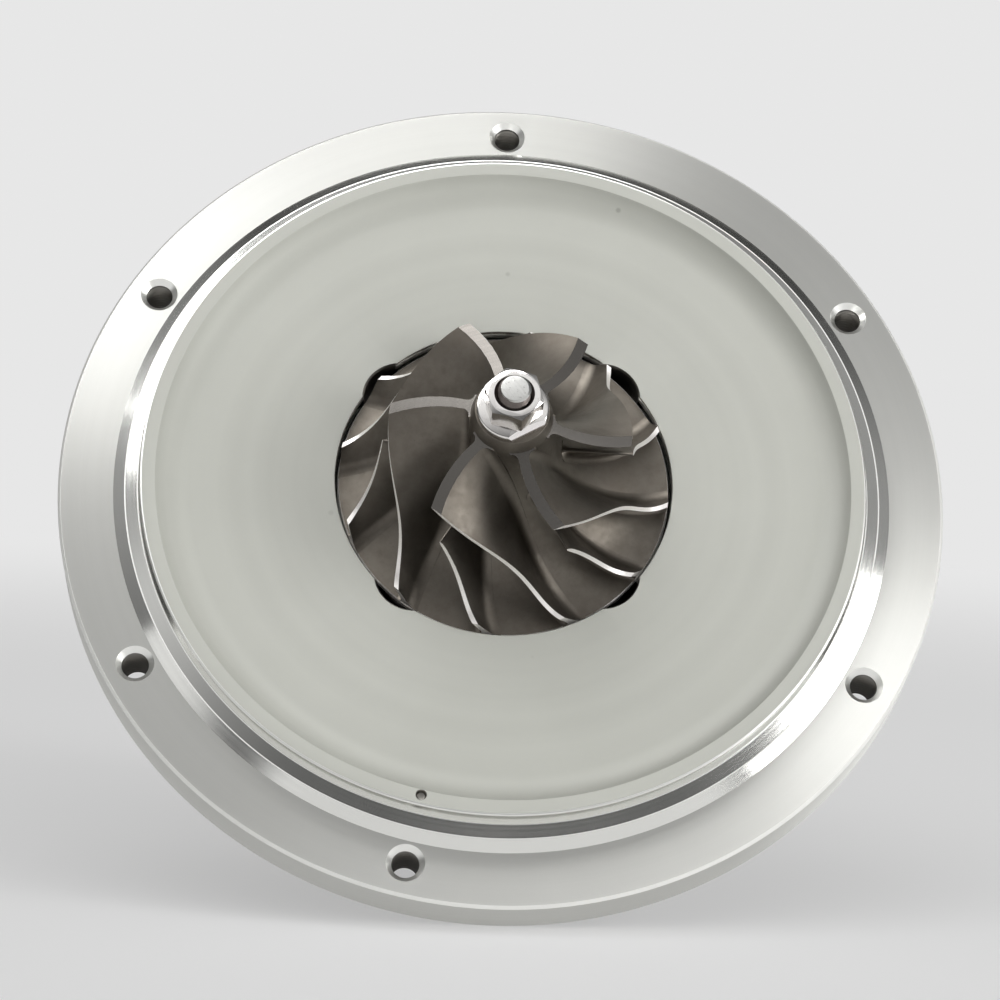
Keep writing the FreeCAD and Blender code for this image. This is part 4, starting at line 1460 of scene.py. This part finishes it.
@dataclass
class CompressorWheel:
    """The cast compressor wheel: six full blades, six splitters and the hub."""

    radius: float = 26.1
    disc_front: float = 0.35
    disc_back: float = -0.85
    boss_radius: float = 7.5
    boss_back: float = -2.15
    tip_height: float = 3.3
    eye: tuple[float, float] = (18.6, 20.8)
    hub_eye: tuple[float, float] = (6.3, 23.7)
    nose: tuple[float, float] = (5.7, 25.9)
    bore: float = 2.52
    count: int = 6
    start: float = 53.5
    wrap: float = 57.0
    lean_eye: float = -8.0
    lean_rim: float = 5.0
    steady: float = 0.36
    power: float = 4.6
    splitter_first: float = 0.29
    setback: float = 0.1
    rim_break: float = 0.15
    blade_root: float = 1.1
    blade_tip: float = 0.62
    fillet: float = 1.2
    sink: float = 0.6
    front_extra: float = 0.15
    bow: float = 1.0

    def lines(self) -> tuple[BladeLine, BladeLine]:
        """Draw the blades' two edges.

        Returns:
            The hub line and the shroud line.
        """
        rim = self.radius - self.setback
        hub = BladeLine(self.hub_eye, (rim, self.disc_front), self.start + self.lean_eye,
                        self.wrap - self.lean_eye + self.lean_rim)
        shroud = BladeLine(self.eye, (rim, self.disc_front + self.tip_height), self.start, self.wrap)
        return hub, shroud

    def hub(self) -> bpy.types.Object:
        """Turn the hub with its thin back disc.

        Returns:
            The hub.
        """
        line = self.lines()[0]
        radius, height = line.section(np.linspace(0.0, 1.0, 49))
        flow = list(zip(radius.tolist(), height.tolist()))
        flow[-1] = (self.radius - self.rim_break, self.disc_front)
        profile = softened([
            (self.bore, self.boss_back), (self.bore, self.nose[1]), (*self.nose, 0.12), *flow,
            (self.radius, self.disc_front - self.rim_break), (self.radius, self.disc_back, 0.1),
            (self.boss_radius, self.disc_back, 0.4), (self.boss_radius, self.boss_back, 0.2),
        ])

        def mark(radius: float, height: float) -> int:
            """1 for the turned faces at the rim and the back."""
            return int(radius > self.radius - 0.2 or height < self.disc_back)

        return link("hub", turned(profile, 240, mark).mesh("hub", [WHEEL_CAST, BLADE_EDGE]))

    def build(self) -> None:
        """Cast the wheel and machine its edges."""
        array = RoundArray("wheel blades", WHEEL_CAST, BLADE_EDGE, BLADE_FRONT)
        shared = (*self.lines(), self.steady, self.power, self.blade_root, self.blade_tip, self.fillet,
                  self.sink)
        full = Blade(*shared, nose=0.0, front_extra=self.front_extra, bow=self.bow)
        splitter = Blade(*shared, first=self.splitter_first, chord_steps=34)
        parts = [self.hub(), array.spread("full", full.build("full"), self.count, 0.0),
                 array.spread("split", splitter.build("split"), self.count, 180.0 / self.count)]
        wheel = joined("compressor_wheel_cast", parts)
        issue(wheel, Body.ROTOR, ["compressor_wheel"])


@dataclass
class ShaftNut:
    """The flanged nut with the spot that was ground off when the rotor was balanced."""

    seat: float = CompressorWheel.nose[1]
    height: float = 5.3
    flats: float = 8.0
    turn: float = 45.0
    flange_radius: float = 5.5
    flange_height: float = 1.0
    collar_rise: float = 0.35
    chamfer: float = 0.8
    crown_share: float = 0.96
    bore: float = CompressorWheel.bore
    mouth: float = 3.05
    cut: float = 0.75
    cut_angle: float = 300.0
    slab: tuple[tuple[float, float], ...] = ((-1.0, 0.0), (3.0, 0.2))
    scoop: tuple[tuple[float, float], ...] = ((0.35, 0.0), (1.6, 0.85))
    corner_blunt: float = 0.06
    corner_swell: float = 0.2
    buried_share: float = 0.6
    flat_rows: int = 8
    crown_rows: int = 4
    samples: int = 360

    def side_rows(self) -> np.ndarray:
        """Lay out the hexagon's flats up to where the crown cone meets them, then the cone.

        Returns:
            Rows of points from the flange up, each row once round the nut.
        """
        top = self.seat + self.height
        corner = self.flats / math.sqrt(3.0)
        crown = self.flats / 2.0 * self.crown_share
        base = self.seat + self.flange_height * self.buried_share
        rows: list[list[tuple[float, float, float]]] = [[] for _ in range(self.flat_rows + self.crown_rows)]
        sixth = math.pi / 3.0
        for index in range(self.samples):
            angle = 2.0 * math.pi * index / self.samples
            bend = (angle - math.radians(self.turn + 30.0) + sixth / 2.0) % sixth - sixth / 2.0
            reach = self.flats / 2.0 / math.cos(bend)
            reach = min(reach, corner - self.corner_blunt + (corner - reach) * self.corner_swell)
            slope = self.chamfer / (corner + self.chamfer - crown)
            meet = top - (reach - crown) * slope
            for row in range(self.flat_rows):
                height = base + (meet - base) * row / (self.flat_rows - 1)
                rows[row].append((reach * math.cos(angle), reach * math.sin(angle), height))
            for row in range(self.crown_rows):
                share = (row + 1) / self.crown_rows
                radius = reach + (crown - reach) * share
                rows[self.flat_rows + row].append((radius * math.cos(angle), radius * math.sin(angle),
                                                   meet + (top - meet) * share))
        return np.array(rows)

    def build(self) -> None:
        """Make the nut, bore it and grind its flange."""
        rows = self.side_rows()
        top = self.seat + self.height
        shell = Shell()
        shell.grid(rows, wrap=True)
        shell.fan(rows[-1])
        shell.fan(rows[0])
        nut = link("shaft_nut_flanged", shell.mesh("shaft_nut_flanged", [NUT_STEEL]))
        collar = self.seat + self.flange_height + self.collar_rise
        flange = turned(softened([
            (0.0, self.seat), (self.flange_radius, self.seat, 0.1),
            (self.flange_radius, self.seat + self.flange_height, 0.42),
            (self.flats / 2.0 + 0.15, collar, 0.3), (0.0, collar)]), 180)
        carve(nut, [flange.mesh("flange", [NUT_STEEL])], "UNION")
        # The bore and its mouth take the dark thread steel: painted shade in the ring round the stud.
        bore = turned([(0.0, self.seat - 0.5), (self.bore, self.seat - 0.5), (self.bore, top - 0.55),
                       (self.mouth, top), (self.mouth + 0.4, top + 0.4), (0.0, top + 0.4)], 96)
        carve(nut, [bore.mesh("bore", [THREAD_STEEL_AND_SHADE])])
        for path in (self.slab, self.scoop):
            carve(nut, [self.grinding(path)])
        issue(nut, Body.ROTOR, ["shaft_nut"])

    def grinding(self, path: tuple[tuple[float, float], ...]) -> bpy.types.Mesh:
        """Make the grinding wheel's path through the flange, which leans towards the shaft.

        Args:
            path: the height over the seat and the lean, at the path's bottom and at its top.

        Returns:
            The path as a closed slab.
        """
        near, half = self.flange_radius - self.cut, self.flats
        levels = []
        for rise, lean in path:
            height = self.seat + rise
            levels.append([(near - lean, -half, height), (near + half, -half, height),
                           (near + half, half, height), (near - lean, half, height)])
        rows = np.array(levels)
        shell = Shell()
        shell.grid(rows, wrap=True)
        shell.fan(rows[0])
        shell.fan(rows[1])
        mesh = shell.mesh("grinding", [GROUND_SPOT])
        mesh.transform(Matrix.Rotation(math.radians(self.cut_angle), 4, "Z"))
        return mesh


@dataclass
class Shaft:
    """The shaft with its threaded end, journals and turbine seal boss."""

    stub: float = 2.5
    chamfer: float = 0.43
    end: float = 32.75
    pitch: float = 0.8
    thread_depth: float = 0.4
    thread_from: float = 24.0
    journal: float = 4.0
    shoulder: float = -24.05
    boss: float = 7.9
    boss_front: float = -60.2
    boss_end: float = -67.2
    groove_floor: float = 6.35
    groove_tops: tuple[float, ...] = (-64.0, -61.4)
    groove_width: float = 1.4
    flank: float = 1.25
    crest: float = 0.12
    tucked: float = 0.98
    end_break: tuple[float, float] = (0.12, 0.03)

    def build(self) -> None:
        """Turn the shaft and cut its thread."""
        corners: list[tuple[float, ...]] = [(0.0, self.boss_end), (self.boss, self.boss_end)]
        for top in self.groove_tops:
            low = top - self.groove_width
            corners += [(self.boss, low, 0.08), (self.groove_floor, low), (self.groove_floor, top),
                        (self.boss, top, 0.08)]
        corners += [(self.boss, self.boss_front, 0.3), (self.journal, self.boss_front, 0.4),
                    (self.journal, self.shoulder, 0.25), (self.stub, self.shoulder, 0.2),
                    (self.stub, self.thread_from), (0.0, self.thread_from)]
        plain = link("plain", turned(softened(corners), 144).mesh("plain", [SHAFT_STEEL]))
        issue(joined("shaft_ground", [plain, self.thread()]), Body.ROTOR, ["shaft"])

    def thread(self) -> bpy.types.Object:
        """Cut the stub's thread as a true left-hand helix, closed by its chamfered end.

        Returns:
            The threaded end.
        """
        columns, steps_per_turn = 96, 12
        steps = int((self.end - self.chamfer - self.thread_from) / self.pitch * steps_per_turn)
        angles = np.linspace(0.0, 2.0 * math.pi, columns, endpoint=False)
        rows = []
        for height in np.linspace(self.thread_from - 0.2, self.end - self.chamfer, steps):
            phase = (height / self.pitch + angles / (2.0 * math.pi)) % 1.0
            wave = np.abs(phase * 2.0 - 1.0)
            radius = self.stub - self.thread_depth * np.clip(wave * self.flank - self.crest, 0.0, 1.0)
            radius = radius * (1.0 if height > self.thread_from else self.tucked)
            rows.append(np.stack([radius * np.cos(angles), radius * np.sin(angles),
                                  np.full(columns, height)], axis=-1))
        lip = self.stub - self.chamfer
        turns = len(rows)
        narrow, low = self.end_break
        for radius, height in ((lip, self.end - low), (lip - narrow, self.end)):
            rows.append(np.stack([radius * np.cos(angles), radius * np.sin(angles),
                                  np.full(columns, height)], axis=-1))
        shell = Shell()
        shell.grid(np.array(rows[:turns]), wrap=True)
        shell.grid(np.array(rows[turns - 1:]), wrap=True, mark=1)
        shell.fan(rows[0])
        shell.fan(rows[-1], mark=1)
        # The thread takes the dark thread steel, which is also the painted shade in the nut's mouth.
        return link("thread", shell.mesh("thread", [THREAD_STEEL_AND_SHADE, STUD_STEEL]))


@dataclass
class TurbineWheel:
    """The cast turbine wheel with its hexagonal boss."""

    radius: float = 25.0
    back: float = -72.0
    disc: float = 1.0
    tip_height: float = 6.4
    shroud_eye: tuple[float, float] = (20.8, 22.0)
    hub_eye: tuple[float, float] = (6.6, 23.5)
    seal_radius: float = Shaft.boss
    seal_end: float = Shaft.boss_end
    boss_flats: float = 11.0
    boss_height: float = 4.0
    count: int = 11
    wrap: float = 40.0
    power: float = 2.4
    setback: float = 0.1
    vane_root: float = 1.5
    vane_tip: float = 0.8
    fillet: float = 1.1
    sink: float = 0.5
    nose: float = 0.9

    def build(self) -> None:
        """Cast the wheel."""
        front = self.back - self.disc
        rim = self.radius - self.setback
        eye = (self.hub_eye[0], self.back - self.hub_eye[1])
        hub = BladeLine(eye, (rim, front), self.wrap, -self.wrap)
        shroud = BladeLine((self.shroud_eye[0], self.back - self.shroud_eye[1]),
                           (rim, front - self.tip_height), self.wrap, -self.wrap)
        radius, height = hub.section(np.linspace(0.0, 1.0, 49))
        flow = list(zip(radius.tolist(), height.tolist()))
        end = eye[1] - self.disc
        profile = softened([
            (0.0, self.seal_end), (0.0, end), (self.hub_eye[0], end, 0.5), *flow,
            (self.radius, self.back, 0.2), (self.seal_radius, self.back, 1.2),
            (self.seal_radius, self.seal_end),
        ])
        parts = [link("core", turned(profile, 220).mesh("core", [TURBINE_CAST]))]
        corner, low, chamfer, buried = self.boss_flats / math.sqrt(3.0), end - self.boss_height, 0.3, 0.5
        boss = turned([(0.0, low), (corner - chamfer, low), (corner, low + chamfer), (corner, end + buried),
                       (0.0, end + buried)], 6)
        parts.append(link("boss", boss.mesh("boss", [TURBINE_EDGE])))
        array = RoundArray("turbine blades", TURBINE_CAST, TURBINE_EDGE, TURBINE_EDGE)
        vane = Blade(hub, shroud, 0.0, self.power, self.vane_root, self.vane_tip, self.fillet, self.sink,
                     chord_steps=40, nose=self.nose)
        parts.append(array.spread("vanes", vane.build("vane"), self.count, 0.0))
        issue(joined("turbine_wheel_cast", parts), Body.ROTOR, ["turbine_wheel"])


@dataclass
class HeatShield:
    """The pressed dish between the housing and the turbine wheel."""

    outer: float = 31.5
    inner: float = 28.1
    top: float = -67.2
    dish_radius: float = 24.5
    dish_top: float = -69.6
    hole: float = 12.2
    sheet: float = 0.8
    bend: float = 1.0
    slope_shift: float = 0.4

    def build(self) -> None:
        """Press the sheet with round bends."""
        outside = self.bend + self.sheet
        profile = softened([
            (self.outer, self.top, 0.15), (self.inner, self.top, outside),
            (self.dish_radius, self.dish_top, self.bend), (self.hole, self.dish_top, 0.2),
            (self.hole, self.dish_top - self.sheet, 0.2),
            (self.dish_radius + self.slope_shift, self.dish_top - self.sheet, outside),
            (self.inner + self.slope_shift, self.top - self.sheet, self.bend),
            (self.outer, self.top - self.sheet, 0.15),
        ], 6)
        mesh = turned(profile, 240).mesh("heat_shield_pressed", [SHIELD_SHEET])
        issue(link("heat_shield_pressed", mesh), Body.HOUSING, ["heat_shield"])


@dataclass
class CarriedNodes:
    """The CAD nodes that stay as they are and get their finish here."""

    finishes: dict[str, Finish] = field(default_factory=lambda: {
        "seal_plate_o_ring": RUBBER, "oil_flinger": SHAFT_STEEL, "compressor_seal_ring": RING_IRON,
        "oil_deflector": SHIELD_SHEET, "thrust_collar_front": SHAFT_STEEL, "thrust_bearing": BRONZE,
        "thrust_bearing_screws": SCREW_STEEL, "thrust_collar_rear": SHAFT_STEEL,
        "journal_bearing_compressor": BRONZE, "journal_bearing_turbine": BRONZE,
        "bearing_housing": IRON_CAST, "turbine_flange_pin": SHAFT_STEEL,
        "bearing_clip_1": SCREW_STEEL, "bearing_clip_2": SCREW_STEEL, "bearing_clip_3": SCREW_STEEL,
        "turbine_seal_ring_1": RING_IRON, "turbine_seal_ring_2": RING_IRON,
    })

    def build(self) -> None:
        """Give each node its finish."""
        for name, finish in self.finishes.items():
            node = frame["nodes"][name]
            node.data.materials.clear()
            node.data.materials.append(finish.material())
            LOG.info("%s keeps its solid, finished as %s", name, finish.name)


def main() -> None:
    """Build the scene in order."""
    logging.basicConfig(level=logging.INFO, format="%(name)s: %(message)s")
    parts = (PhotoCamera(), Studio(), SealPlate(), PlateScrews(), CompressorWheel(), ShaftNut(), Shaft(),
             TurbineWheel(), HeatShield(), CarriedNodes())
    for part in parts:
        part.build()


if __name__ == "__main__":
    main()
